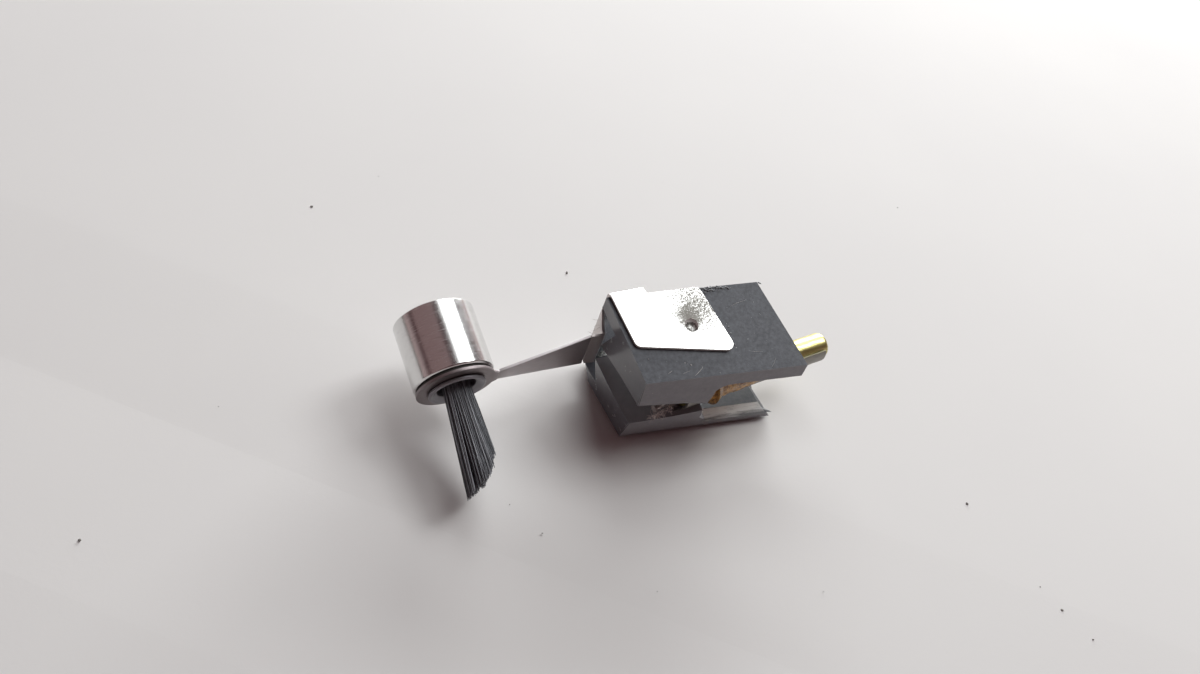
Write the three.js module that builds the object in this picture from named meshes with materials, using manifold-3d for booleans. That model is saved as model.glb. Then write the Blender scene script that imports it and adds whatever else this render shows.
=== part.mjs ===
// Record player stylus unit with a clip-on dust brush, lying on its side as it is put down on paper.
// Millimetres. World: +X runs from the brush to the tube end, +Z is up off the table.
// Inside the "play" group, y is up when the unit plays a record and z is across it.
import * as THREE from 'three';
import { ConvexGeometry } from 'three/addons/geometries/ConvexGeometry.js';
import { mergeVertices } from 'three/addons/utils/BufferGeometryUtils.js';
import Module from 'manifold-3d';

const wasm = await Module();
wasm.setup();

// Driving dimensions of the moulded grip, a wedge that is narrower at the record side
const gripLength = 15;
const gripRise = 8.35;
const footHalf = 4.49;
const wedgeAngle = THREE.MathUtils.degToRad(6.8);
const frontLean = 1.44;
const rearLean = 2.13;
const keelDrop = 0.53;
const topFall = 0.29;
const frontTop = gripRise - topFall;
const prowFoot = 0.05;
const prowTop = 0.45;
const wingWall = 1.4;
const overcut = 4;

// Block, slot and channel of the grip
const blockRear = 7.2;
const stripWidth = 0.93;
const recessSide = 3;
const recessMiddle = 2;
const blockTopSide = gripRise - recessSide;
const blockTopMiddle = gripRise - recessMiddle;
const slotFrontHalf = 1.95;
const slotFrontHalfTop = 1.15;
const slotRearHalf = 0.5;
const slotWallX = 4.3;
const grooveTop = 0.75;
const channelFloor = 0.95;
const channelCorner = 1.1;
const mouthHalfs = [0.55, 1.3, 2.3, 2.77, 2.95, 3.0, 3.0];
const mouthStations = [6.6, 6.8, 6.95, 7.4, 7.9, 8.6, 19];
const shaveStart = 7.7;
const shaveReach = 1.8;
const shaveBite = 0.45;
const chipLength = 1.3;
const chipHigh = 2.9;
const chipLean = 0.09;
const cornerPlane = [-4.27, 0.21, -0.353];
const cornerMargin = 0.6;

// Running gap between pieces that touch on the real unit
const seat = 0.04;

// Brass pivot tube and its trough
const tubeOuter = 1.19;
const tubeInner = 0.95;
const tubeAngle = Math.atan(0.207);
const tubeHeightAtZero = 0.2;
const tubeFrontX = 4.75;
const tubeRearX = 20.5;
const tubeEndRound = 0.42;
const boreRadius = 1.47;
const troughInner = 1.23;
const troughOuter = 1.43;
const troughHalfAngle = THREE.MathUtils.degToRad(38);
const troughFrontX = 4.75;
const troughRearX = 19.85;
const glueOuter = 1.95;
const glueLength = 0.5;
const plugFront = 1.7;
const plugBore = 0.2;

// Stylus suspension inside the tube
const pivotFromMouth = 1.0;
const damperOuter = 0.91;
const damperLength = 0.9;
const coreRadius = 0.64;
const coreHalf = 0.36;
const coreBore = 0.33;
const ringOuter = 0.91;
const ringInner = 0.56;
const ringLength = 0.2;
const sleeveRadius = 0.38;
const sleeveLength = 0.55;
const magnetRadius = 0.46;
const magnetLength = 2.2;
const magnetChamfer = 0.08;
const wireRadius = 0.07;
const anchorRadius = 0.55;
const anchorLength = 0.5;
const shankRadius = 0.25;
const shankBore = 0.17;
const shankCrank = THREE.MathUtils.degToRad(13);
const shankStraight = 1.3;
const shankReach = 3.45;
const collarRadius = 0.33;
const collarLength = 0.55;
const tipShankRadius = 0.13;
const tipShankLength = 0.26;
const tipConeLength = 0.24;

// Sheet metal clip and brush arm
const sheet = 0.24;
const legGap = seat;
const bendRadius = 0.42;
const clipOver = 0.55;
const foldTilt = 0.119;
const foldLevelX = 1;
const stepDown = 0.39;
const legRearDown = 0.15;
const legFrontDown = 0.45;
const legOutline = [
  [-1.42, gripRise + clipOver], [1.8, gripRise + clipOver], [2.13, gripRise - stepDown], [7.02, gripRise - legRearDown],
  [8.62, 2.5], [8.12, 2.0], [-0.04, 3.18], [-1.05, gripRise - legFrontDown],
];
const legRounds = [0, 0, 0.15, 0.55, 0.35, 0.3, 0.45, 0.2];
const dimplePlace = [5.3, 4.68];
const dimpleRadius = 0.95;
const dimpleDepth = 0.34;
const flapTopHalf = 3.6;
const flapRootHalf = 2.12;
const flapShoulder = 0.15;
const flapReach = 1.82;
const flapTopY = gripRise - flapShoulder;
const flapRootY = gripRise - flapReach;
const flapX = -1.2;
const flapRound = 0.5;
const armRootX = -2.36;
const armHalfRoot = 2.1;
const armHalfNeck = 0.76;
const armNeckX = -10.5;
const armNeckDrop = 1.49;
const armNeckY = flapRootY - armNeckDrop;
const hingeGap = 0.06;

// Brush head, its axis leaning a little forward and to the side
const headDrop = 1.76;
const headPlace = [-14.2, flapRootY - headDrop, 0];
const headPitch = 0.149;
const headRoll = 0.149;
const weightRadius = 3.43;
const weightHeight = 6;
const weightChamfer = 0.14;
const weightBore = 2.83;
const weightBoreDepth = 5.2;
const weightDishRadius = 2.55;
const weightDishDepth = 0.22;
const flangeRadius = 3.18;
const flangeThick = 0.17;
const bushRise = 2.4;
const ringRadius = 3.36;
const eyeletOuter = 1.92;
const eyeletInner = 1.66;
const eyeletDepth = 2.9;
const lipRadius = 2.45;
const lipThick = 0.36;
const stubRadius = 1.6;
const stubDepth = 2.1;
const stubRecess = 0.1;
const sliceGap = 0.04;

// Bristles
const strandsPerNode = 90;
const rootRadius = 1.06;
const strandRadius = 0.042;
const strandSides = 3;
const spreadShare = 0.53;
const leanShare = -0.045;
const tuftShift = 0.08;
const trimMiddle = 8.6;
const frontTrimShare = 0.5;
const rearTrimShare = 1.6;
const trimRagged = 0.3;
const strandSink = 0.25;

// Facet counts
const roundSteps = 56;
const smallSteps = 28;
const tinySteps = 16;
const arcSteps = 6;

const tubeTan = Math.tan(tubeAngle);
const wedgeTan = Math.tan(wedgeAngle);
const halfAt = (y) => footHalf + y * wedgeTan;

// Materials, one for each look in the photograph
const paint = (color, roughness, metalness) => new THREE.MeshStandardMaterial({ color, roughness, metalness });
const looks = {
  moulding: () => paint('#45454a', 0.62, 0),
  nickel: () => paint('#d2d2cf', 0.28, 1),
  armSteel: () => paint('#8d8884', 0.42, 1),
  aluminium: () => paint('#c9c8c6', 0.25, 1),
  fibre: () => paint('#2a2624', 0.85, 0),
  brass: () => paint('#b9964e', 0.3, 1),
  trough: () => paint('#8f8c84', 0.45, 1),
  amberGlue: () => paint('#9a6a2c', 0.4, 0),
  rubber: () => paint('#1d1c1c', 0.8, 0),
  steel: () => paint('#9c9b98', 0.35, 1),
  magnet: () => paint('#6e6c6a', 0.4, 1),
  bristle: () => paint('#2f2f33', 0.55, 0),
  diamond: () => paint('#e8e6df', 0.1, 0),
};

// Solids from meshes, joined and cut
function solidOf(geometry) {
  const bare = geometry.index ? geometry.toNonIndexed() : geometry.clone();
  bare.deleteAttribute('normal');
  bare.deleteAttribute('uv');
  const merged = mergeVertices(bare, 1e-4);
  const positions = merged.attributes.position;
  const vertProperties = new Float32Array(positions.array);
  const kept = [];
  const index = merged.index.array;
  for (let i = 0; i < index.length; i += 3) {
    const [a, b, c] = [index[i], index[i + 1], index[i + 2]];
    if (a !== b && b !== c && a !== c) kept.push(a, b, c);
  }
  return new wasm.Manifold(new wasm.Mesh({ numProp: 3, vertProperties, triVerts: new Uint32Array(kept) }));
}

function geometryOf(solid) {
  const mesh = solid.getMesh();
  const geometry = new THREE.BufferGeometry();
  geometry.setAttribute('position', new THREE.BufferAttribute(new Float32Array(mesh.vertProperties), 3));
  geometry.setIndex(new THREE.BufferAttribute(new Uint32Array(mesh.triVerts), 1));
  const flat = geometry.toNonIndexed();
  flat.computeVertexNormals();
  return flat;
}

const cut = (base, ...tools) => tools.reduce((left, tool) => left.subtract(solidOf(tool)), base);
const join = (base, ...others) => others.reduce((left, other) => left.add(solidOf(other)), base);

function meshOf(name, geometry, material) {
  const mesh = new THREE.Mesh(geometry, material);
  mesh.name = name;
  return mesh;
}

const hullOf = (points) => new ConvexGeometry(points.map((p) => new THREE.Vector3(...p)));
const mirrored = (points) => [...points, ...points.map(([x, y, z]) => [x, y, -z])];

// A plan outline in x and z, pushed along y from low to high
function planPrism(points, low, high) {
  const shape = new THREE.Shape(points.map(([x, z]) => new THREE.Vector2(x, -z)));
  const geometry = new THREE.ExtrudeGeometry(shape, { depth: high - low, bevelEnabled: false });
  geometry.rotateX(-Math.PI / 2);
  geometry.translate(0, low, 0);
  return geometry;
}

// A side outline in x and y, pushed along z to both sides
function sidePrism(shape, half) {
  const geometry = new THREE.ExtrudeGeometry(shape, { depth: 2 * half, bevelEnabled: false, curveSegments: arcSteps });
  geometry.translate(0, 0, -half);
  return geometry;
}

// A closed outline whose corners are rounded by the given radii
function roundedShape(corners, radii) {
  const shape = new THREE.Shape();
  corners.forEach((corner, i) => {
    const here = new THREE.Vector2(...corner);
    const before = new THREE.Vector2(...corners[(i + corners.length - 1) % corners.length]);
    const after = new THREE.Vector2(...corners[(i + 1) % corners.length]);
    const radius = radii[i];
    const toBefore = before.sub(here).normalize();
    const toAfter = after.sub(here).normalize();
    const start = here.clone().addScaledVector(toBefore, radius);
    const end = here.clone().addScaledVector(toAfter, radius);
    if (i === 0) shape.moveTo(start.x, start.y);
    else shape.lineTo(start.x, start.y);
    if (radius > 0) shape.quadraticCurveTo(here.x, here.y, end.x, end.y);
  });
  shape.closePath();
  return shape;
}

// A turned body about y from radius and height pairs, run round so that its faces point out
function turned(profile, steps) {
  const points = profile.map(([r, y]) => new THREE.Vector2(r, y));
  if (THREE.ShapeUtils.isClockWise(points)) points.reverse();
  points.push(points[0].clone());
  return new THREE.LatheGeometry(points, steps);
}

// A turned body whose axis lies along +x
function turnedAlongX(profile, steps) {
  const geometry = turned(profile, steps);
  geometry.rotateZ(-Math.PI / 2);
  return geometry;
}

// Moulded grip: two wings and a slotted front block, with an open channel behind it
const frontAt = (y) => -frontLean * (y / gripRise);

function gripEnvelope() {
  return hullOf([
    ...mirrored([
      [0, 0, footHalf],
      [gripLength, 0, footHalf],
      [frontAt(frontTop), frontTop, halfAt(frontTop)],
      [gripLength - rearLean, gripRise, halfAt(gripRise)],
    ]),
    [frontAt(-keelDrop), -keelDrop, 0],
    [gripLength, -keelDrop, 0],
  ]);
}

// The slightly pointed front of the block, standing proud between the end strips of the wings
function blockProw() {
  const ends = [0, frontTop];
  return hullOf([
    ...mirrored(ends.flatMap((y) => [[frontAt(y), y, halfAt(y) - stripWidth], [blockRear, y, halfAt(y) - stripWidth]])),
    [-prowFoot, -keelDrop, 0],
    [frontAt(frontTop) - prowTop, frontTop, 0],
  ]);
}

function channelTool() {
  const levels = [channelFloor, gripRise + overcut];
  const points = [];
  for (const y of levels) {
    const half = halfAt(y) - wingWall;
    for (let i = 0; i <= arcSteps; i += 1) {
      const turn = (i / arcSteps) * (Math.PI / 2);
      const x = blockRear + channelCorner * (1 - Math.sin(turn));
      const z = half - channelCorner * (1 - Math.cos(turn));
      points.push([x, y, z], [x, y, -z]);
    }
    points.push([gripLength + overcut, y, half], [gripLength + overcut, y, -half]);
  }
  return hullOf(points);
}

// The open mouth of the channel on the record side, where the brass tube shows
function mouthTool() {
  const upper = mouthStations.map((x, i) => [x, mouthHalfs[i]]);
  const lower = [...upper].reverse().map(([x, z]) => [x, -z]);
  return planPrism([...upper, ...lower], -overcut, channelFloor + seat);
}

function slotTool() {
  const halfHere = (x, front) => front - ((front - slotRearHalf) / blockRear) * Math.max(x, 0);
  const level = (y, front, from, to) => mirrored([[from, y, halfHere(from, front)], [to, y, halfHere(to, front)]]);
  return [
    hullOf([
      ...level(-overcut, slotFrontHalf, -overcut, slotWallX),
      ...level(0, slotFrontHalf, -overcut, slotWallX),
      ...level(blockTopMiddle, slotFrontHalfTop, -overcut, slotWallX),
      ...level(blockTopMiddle + seat, slotFrontHalfTop, -overcut, slotWallX),
    ]),
    hullOf([
      ...level(-overcut, slotFrontHalf, slotWallX - seat, blockRear + seat),
      ...level(grooveTop, slotFrontHalf, slotWallX - seat, blockRear + seat),
    ]),
  ];
}

// The worn lower front corner, taken off the grip and the clip alike
function cornerTool() {
  const [base, perY, perZ] = cornerPlane;
  const points = [];
  for (const y of [blockTopSide - cornerMargin, gripRise + overcut]) {
    for (const z of [-cornerMargin * 2, -footHalf - overcut]) {
      const x = base + perY * y + perZ * z;
      points.push([x, y, z], [x - gripLength, y, z]);
    }
  }
  return hullOf(points);
}

function recessTool() {
  const topY = gripRise + overcut;
  const ends = [-overcut, blockRear + channelCorner + seat];
  return hullOf(ends.flatMap((x) => [
    ...mirrored([
      [x, blockTopSide, halfAt(blockTopSide) - wingWall],
      [x, topY, halfAt(topY) - wingWall],
    ]),
  ]));
}

// The low ridge that the recess leaves on top of the block, run out past its front
function blockCrown() {
  const ends = [-overcut, blockRear];
  const inner = halfAt(blockTopSide) - wingWall + seat;
  return hullOf(ends.flatMap((x) => [
    ...mirrored([[x, blockTopSide - seat, inner]]),
    [x, blockTopMiddle, slotRearHalf],
    [x, blockTopMiddle, -slotRearHalf],
  ]));
}

// The knife cut that pared the inner edge of the lower wing
function shaveTool() {
  const wall = wingWall - halfAt(channelFloor);
  const level = (y) => {
    const knife = wall + (y - channelFloor) * (shaveBite / channelFloor);
    return [shaveStart, gripLength + overcut].flatMap((x) => [[x, y, knife], [x, y, wall + shaveReach]]);
  };
  return hullOf([...level(-overcut), ...level(channelFloor + seat)]);
}

// The rear end of the lower wing, broken off at a slant on its inner side
function chipTool() {
  const slope = chipLength / wingWall;
  return hullOf([-overcut, chipHigh, chipHigh + chipLength].flatMap((y, i) => {
    const outer = -halfAt(y);
    const rear = gripLength + seat - chipLean * y + (i === 2 ? chipLength : 0);
    const far = wingWall + shaveReach;
    return [
      [rear, y, outer],
      [rear - slope * far, y, outer + far],
      [gripLength + overcut, y, outer + far],
      [gripLength + overcut, y, outer],
    ];
  }));
}

// Places a tool built along +x from its own zero on the tube axis, at a distance from x = 0
function onTubeAxis(geometry, x) {
  geometry.rotateZ(tubeAngle);
  geometry.translate(x, tubeHeightAtZero + x * tubeTan, 0);
  return geometry;
}

function boreTool() {
  const start = slotWallX - (boreRadius + seat) * tubeTan;
  const profile = [[0, 0], [boreRadius, 0], [boreRadius, gripLength], [0, gripLength]];
  return onTubeAxis(turnedAlongX(profile, smallSteps), start);
}

// The pocket in each side of the grip that the clip's pressed dimple seats in
function sideDent(side) {
  return ballOverSide(side, dimpleRadius + seat, -dimpleDepth);
}

function makeGrip() {
  const recess = cut(solidOf(recessTool()), blockCrown());
  const open = join(solidOf(gripEnvelope()), blockProw()).subtract(recess);
  const solid = cut(
    open, channelTool(), mouthTool(), ...slotTool(), boreTool(),
    shaveTool(), chipTool(), cornerTool(), sideDent(1), sideDent(-1),
  );
  return meshOf('grip_body', geometryOf(solid), looks.moulding());
}

// Clip-on clip: one sheet folded over the grip, with a flap down the front that carries the arm.
// The fold isn't parallel to the grip: it rises from the front to the rear as the legs stay flat.
const foldRiseAt = (x) => foldTilt * (x - foldLevelX);

function foldedSection(offset) {
  const top = gripRise + legGap + offset;
  const slope = new THREE.Vector2(Math.cos(wedgeAngle), Math.sin(wedgeAngle));
  const out = (legGap + offset) / slope.x;
  const low = legOutline[5][1] - bendRadius - foldRiseAt(legOutline[4][0]);
  const halfHere = (y) => footHalf + out + y * wedgeTan;
  return { top, low, halfHere };
}

function foldedSheet() {
  const outer = foldedSection(sheet);
  const inner = foldedSection(0);
  const shape = roundedShape([
    [outer.halfHere(outer.low), outer.low],
    [outer.halfHere(outer.top), outer.top],
    [-outer.halfHere(outer.top), outer.top],
    [-outer.halfHere(outer.low), outer.low],
    [-inner.halfHere(inner.low), inner.low],
    [-inner.halfHere(inner.top), inner.top],
    [inner.halfHere(inner.top), inner.top],
    [inner.halfHere(inner.low), inner.low],
  ], [0, bendRadius, bendRadius, 0, 0, bendRadius - sheet, bendRadius - sheet, 0]);
  const from = -frontLean - overcut;
  const length = gripLength + overcut;
  const geometry = new THREE.ExtrudeGeometry(shape, { depth: length, bevelEnabled: false, curveSegments: arcSteps });
  geometry.rotateY(Math.PI / 2);
  geometry.translate(from, 0, 0);
  const place = geometry.attributes.position;
  for (let i = 0; i < place.count; i += 1) {
    const rise = foldRiseAt(place.getX(i));
    place.setY(i, place.getY(i) + rise);
    place.setZ(i, place.getZ(i) + Math.sign(place.getZ(i)) * rise * wedgeTan);
  }
  return geometry;
}

function flapSheet() {
  const top = gripRise + legGap + foldRiseAt(flapX);
  const rootLow = flapRootY - sheet / 2;
  const rootHigh = flapRootY + sheet / 2;
  const rootEnd = armRootX + hingeGap / 2;
  const profile = roundedShape([
    [flapX + 3 * sheet, top + sheet],
    [flapX - sheet / 2, top + sheet],
    [flapX - sheet / 2, rootHigh],
    [rootEnd, rootHigh],
    [rootEnd, rootLow],
    [flapX + sheet / 2, rootLow],
    [flapX + sheet / 2, top],
    [flapX + 3 * sheet, top],
  ], [0, sheet + sheet / 2, sheet / 2, 0, 0, sheet + sheet / 4, sheet / 4, 0]);
  const face = roundedShape([
    [-flapTopHalf, top + 4 * sheet],
    [-flapTopHalf, flapTopY],
    [-flapRootHalf, flapRootY + flapRound],
    [-flapRootHalf, rootLow - sheet],
    [flapRootHalf, rootLow - sheet],
    [flapRootHalf, flapRootY + flapRound],
    [flapTopHalf, flapTopY],
    [flapTopHalf, top + 4 * sheet],
  ], [0, flapRound, flapRound, 0, 0, flapRound, flapRound, 0]);
  const blank = new THREE.ExtrudeGeometry(face, { depth: overcut, bevelEnabled: false, curveSegments: arcSteps });
  blank.rotateY(Math.PI / 2);
  blank.translate(-overcut, 0, 0);
  return solidOf(sidePrism(profile, flapTopHalf)).intersect(solidOf(blank));
}

// A ball on a side of the grip, its lowest point at the given height over the grip's face
function ballOverSide(side, radius, height) {
  const ball = new THREE.SphereGeometry(radius, smallSteps, tinySteps);
  const lift = radius + height;
  const y = dimplePlace[1] * Math.cos(wedgeAngle) - lift * Math.sin(wedgeAngle);
  const z = footHalf + dimplePlace[1] * Math.sin(wedgeAngle) + lift * Math.cos(wedgeAngle);
  ball.translate(dimplePlace[0], y, side * z);
  return ball;
}

function makeClip() {
  const blanked = solidOf(foldedSheet())
    .intersect(solidOf(sidePrism(roundedShape(legOutline, legRounds), footHalf + overcut)));
  const out = foldedSection(sheet);
  const reach = [dimplePlace[0] - dimpleRadius, dimplePlace[0] + dimpleRadius];
  const sideSpace = (side) => hullOf(reach.flatMap((x) => [
    [x, out.low, 0],
    [x, gripRise, 0],
    [x, out.low, side * out.halfHere(out.low)],
    [x, gripRise, side * out.halfHere(gripRise)],
  ]));
  let solid = cut(blanked.add(flapSheet()), cornerTool());
  for (const side of [1, -1]) {
    const bump = solidOf(ballOverSide(side, dimpleRadius, legGap - dimpleDepth)).intersect(solidOf(sideSpace(side)));
    const hollow = ballOverSide(side, dimpleRadius - sheet / 2, legGap + sheet - dimpleDepth + sheet / 8);
    solid = cut(solid.add(bump), hollow);
  }
  return meshOf('brush_clip', geometryOf(solid), looks.nickel());
}

// Brush arm: a tapered leaf that carries the ring of the brush head
function armLeaf() {
  const start = armRootX - hingeGap / 2;
  const stations = [
    [start, flapRootY, armHalfRoot, 0],
    [armNeckX, armNeckY, armHalfNeck, headRoll],
  ];
  const corners = stations.map(([x, y, half, twist]) => [[-1, -1], [1, -1], [1, 1], [-1, 1]].map(([zs, ys]) => {
    const z = zs * half;
    const lift = ys * (sheet / 2);
    return [x, y + lift * Math.cos(twist) - z * Math.sin(twist), z * Math.cos(twist) + lift * Math.sin(twist)];
  }));
  return hullOf(corners.flat());
}

const brush = new THREE.Group();
brush.position.set(...headPlace);
brush.rotation.set(headRoll, 0, headPitch);
brush.updateMatrix();

const ringTop = -flangeThick - 2 * seat;
const ringLow = ringTop - sheet;

function makeArm() {
  const ring = turned([
    [eyeletOuter + seat, ringLow], [ringRadius, ringLow], [ringRadius, ringTop], [eyeletOuter + seat, ringTop],
  ], roundSteps);
  const toPlay = brush.matrix;
  ring.applyMatrix4(toPlay);
  const tangInner = [ringRadius - 2 * sheet, (ringTop + ringLow) / 2];
  const tang = [];
  const flare = armHalfNeck + sheet * 2;
  for (const [x, half] of [[tangInner[0], flare], [ringRadius + sheet, armHalfNeck]]) {
    for (const zs of [-1, 1]) {
      for (const ys of [-1, 1]) {
        tang.push(new THREE.Vector3(x, tangInner[1] + ys * (sheet / 2), zs * half).applyMatrix4(toPlay));
      }
    }
  }
  const neck = [-1, 1].flatMap((zs) => [-1, 1].map((ys) => {
    const z = zs * armHalfNeck;
    return new THREE.Vector3(armNeckX, armNeckY + ys * (sheet / 2) - z * Math.sin(headRoll), z);
  }));
  const bridge = new ConvexGeometry([...tang.slice(4), ...neck]);
  const solid = join(solidOf(ring), new ConvexGeometry(tang), bridge, armLeaf());
  return meshOf('brush_arm', geometryOf(solid), looks.armSteel());
}

// Brush head pieces, turned about the head's own axis
function makeWeight() {
  const c = weightChamfer;
  return meshOf('brush_weight', turned([
    [weightBore, 0],
    [weightRadius - c, 0],
    [weightRadius, c],
    [weightRadius, weightHeight - c],
    [weightRadius - c, weightHeight],
    [weightDishRadius, weightHeight],
    [weightDishRadius - weightDishDepth, weightHeight - weightDishDepth],
    [0, weightHeight - weightDishDepth],
    [0, weightBoreDepth],
    [weightBore, weightBoreDepth],
  ], roundSteps), looks.aluminium());
}

// The stepped bush that centres the eyelet in the hollow weight
function makeBush() {
  const spigot = weightBore - seat;
  return meshOf('brush_bush', turned([
    [eyeletOuter + seat, bushRise],
    [eyeletOuter + seat, -seat - flangeThick],
    [flangeRadius, -seat - flangeThick],
    [flangeRadius, -seat],
    [spigot, -seat],
    [spigot, bushRise],
  ], roundSteps), looks.fibre());
}

function makeEyelet() {
  const lipTop = ringLow - seat;
  const profile = [[eyeletInner, eyeletDepth], [eyeletInner, lipTop]];
  const roll = lipThick / 2;
  const rollCentre = lipRadius - roll;
  for (let i = 0; i <= arcSteps; i += 1) {
    const turn = Math.PI * (1 + i / arcSteps / 2) + Math.PI / 2;
    profile.push([rollCentre + roll * Math.cos(turn), lipTop - roll + roll * Math.sin(turn)]);
  }
  profile.push([lipRadius, lipTop - roll / 2], [rollCentre + roll / 2, lipTop]);
  profile.push([eyeletOuter, lipTop], [eyeletOuter, eyeletDepth]);
  return meshOf('brush_eyelet', turned(profile, roundSteps), looks.nickel());
}

function makeStub() {
  const low = eyeletDepth - stubRecess;
  return meshOf('tuft_plug', turned([
    [0, stubDepth + sliceGap],
    [stubRadius, stubDepth + sliceGap],
    [stubRadius, low],
    [0, low],
  ], smallSteps), looks.fibre());
}

// Bristles: a sunflower pattern of roots, each strand running straight to its own tip
function random(seed) {
  let state = seed;
  return () => {
    state = (state * 1664525 + 1013904223) % 4294967296;
    return state / 4294967296;
  };
}

function strandGeometry(root, tip, turn) {
  const direction = tip.clone().sub(root);
  const axis = direction.clone().normalize();
  const side = new THREE.Vector3(1, 0, 0).cross(axis).normalize();
  const other = axis.clone().cross(side);
  const rings = [root, tip].map((centre, level) => {
    const radius = strandRadius * (1 - level / 4);
    return Array.from({ length: strandSides }, (unused, k) => {
      const a = turn + (k / strandSides) * 2 * Math.PI;
      return centre.clone()
        .addScaledVector(side, radius * Math.cos(a))
        .addScaledVector(other, radius * Math.sin(a));
    });
  });
  return new ConvexGeometry(rings.flat());
}

const spreadAt = (length) => 1 + spreadShare * (length / trimMiddle);
const tipAcross = (x, length) => tuftShift + x * spreadAt(length) + leanShare * length;

function trimmedLength(x) {
  let length = trimMiddle;
  for (let pass = 0; pass < arcSteps; pass += 1) {
    const across = tipAcross(x, length);
    length = trimMiddle - across * (across > 0 ? rearTrimShare : frontTrimShare);
  }
  return length;
}

function makeTuft(quarter) {
  const next = random(11 + quarter);
  const total = 4 * strandsPerNode;
  const golden = Math.PI * (3 - Math.sqrt(5));
  const half = sliceGap / 2;
  const from = (quarter * Math.PI) / 2;
  const slice = new THREE.Shape();
  const corner = [half * (Math.cos(from) - Math.sin(from)), half * (Math.sin(from) + Math.cos(from))];
  const trim = Math.asin(half / stubRadius);
  slice.moveTo(...corner);
  slice.absarc(0, 0, stubRadius, from + trim, from + Math.PI / 2 - trim, false);
  slice.lineTo(...corner);
  const block = new THREE.ExtrudeGeometry(slice, {
    depth: stubDepth - stubRecess, bevelEnabled: false, curveSegments: arcSteps * 2,
  });
  block.rotateX(Math.PI / 2);
  block.translate(0, stubDepth, 0);
  let solid = solidOf(block);
  const strands = [];
  for (let i = 0; i < total; i += 1) {
    const angle = i * golden;
    const spread = rootRadius * Math.sqrt((i + 0.5) / total);
    const x = spread * Math.cos(angle);
    const z = spread * Math.sin(angle);
    const place = ((Math.atan2(z, x) + 2 * Math.PI) % (2 * Math.PI)) / (Math.PI / 2);
    const margin = strandRadius + half;
    const clear = Math.abs(x) > margin && Math.abs(z) > margin;
    if (Math.floor(place) !== quarter || !clear) continue;
    const length = trimmedLength(x) - next() * trimRagged;
    const tip = new THREE.Vector3(tipAcross(x, length), -length, z * spreadAt(length));
    strands.push([new THREE.Vector3(x, stubRecess + strandSink, z), tip, next() * Math.PI]);
  }
  for (const [root, tip, turn] of strands) solid = solid.add(solidOf(strandGeometry(root, tip, turn)));
  return meshOf(`bristles_${'abcd'[quarter]}`, geometryOf(solid), looks.bristle());
}

// Brass tube that plugs into the cartridge, its trough and its glue collar
function axisPiece(name, profile, x, steps, material) {
  return meshOf(name, onTubeAxis(turnedAlongX(profile, steps), x), material);
}

const tubeLength = (tubeRearX - tubeFrontX) / Math.cos(tubeAngle);

function makeTube() {
  const profile = [[tubeInner, 0], [tubeInner, tubeLength - tubeEndRound]];
  profile.push([tubeInner - tubeEndRound / 2, tubeLength - tubeEndRound / 3]);
  profile.push([tubeInner - tubeEndRound / 2, tubeLength]);
  for (let i = 0; i <= arcSteps; i += 1) {
    const turn = (i / arcSteps) * (Math.PI / 2);
    profile.push([
      tubeOuter - tubeEndRound * (1 - Math.sin(turn)),
      tubeLength - tubeEndRound * (1 - Math.cos(turn)),
    ]);
  }
  profile.push([tubeOuter, 0]);
  return axisPiece('pivot_tube', profile, tubeFrontX, smallSteps + tinySteps / 2, looks.brass());
}

function makeTrough() {
  const shape = new THREE.Shape();
  const down = -Math.PI / 2;
  shape.absarc(0, 0, troughOuter, down - troughHalfAngle, down + troughHalfAngle, false);
  shape.absarc(0, 0, troughInner, down + troughHalfAngle, down - troughHalfAngle, true);
  shape.closePath();
  const length = (troughRearX - troughFrontX) / Math.cos(tubeAngle);
  const geometry = new THREE.ExtrudeGeometry(shape, {
    depth: length, bevelEnabled: false, curveSegments: tinySteps,
  });
  geometry.rotateY(Math.PI / 2);
  return meshOf('tube_trough', onTubeAxis(geometry, troughFrontX), looks.trough());
}

const axisX = (distance) => tubeFrontX + distance * Math.cos(tubeAngle);
const pivotX = axisX(pivotFromMouth);

function makeGlue() {
  const start = blockRear + glueOuter * tubeTan + seat;
  const collar = turnedAlongX([
    [troughOuter + seat, 0],
    [troughOuter + seat, glueLength],
    [glueOuter - glueLength / 2, glueLength],
    [glueOuter, 0],
  ], smallSteps);
  return meshOf('glue_collar', onTubeAxis(collar, start), looks.amberGlue());
}

function makePlug() {
  const length = plugFront;
  const r = tubeInner - seat;
  return axisPiece('tube_plug', [
    [plugBore, 0], [r, 0], [r, length], [plugBore, length],
  ], axisX(tubeLength - tubeEndRound - length - seat), smallSteps, looks.rubber());
}

// Suspension pieces inside the tube
function makeDamper() {
  const inner = coreRadius + seat;
  return axisPiece('damper_ring', [
    [inner, 0], [damperOuter, 0], [damperOuter, damperLength], [inner, damperLength],
  ], axisX(pivotFromMouth - damperLength / 2), smallSteps, looks.rubber());
}

function makeRetainer() {
  const start = pivotFromMouth - damperLength / 2 - seat - ringLength;
  return axisPiece('damper_washer', [
    [ringInner, 0], [ringOuter, 0], [ringOuter, ringLength], [ringInner, ringLength],
  ], axisX(start), smallSteps, looks.steel());
}

function makeCore() {
  const profile = [[coreBore, -coreHalf]];
  const most = Math.asin(coreHalf / coreRadius);
  for (let i = 0; i <= 2 * arcSteps; i += 1) {
    const turn = most * (i / arcSteps - 1);
    profile.push([coreRadius * Math.cos(turn), coreRadius * Math.sin(turn)]);
  }
  profile.push([coreBore, coreHalf]);
  return axisPiece('damper_core', profile, pivotX, smallSteps, looks.rubber());
}

function makeSleeve() {
  return axisPiece('armature_sleeve', [
    [shankRadius + seat, 0], [sleeveRadius, 0], [sleeveRadius, sleeveLength], [shankRadius + seat, sleeveLength],
  ], axisX(pivotFromMouth + coreHalf + 2 * seat), smallSteps, looks.steel());
}

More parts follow.
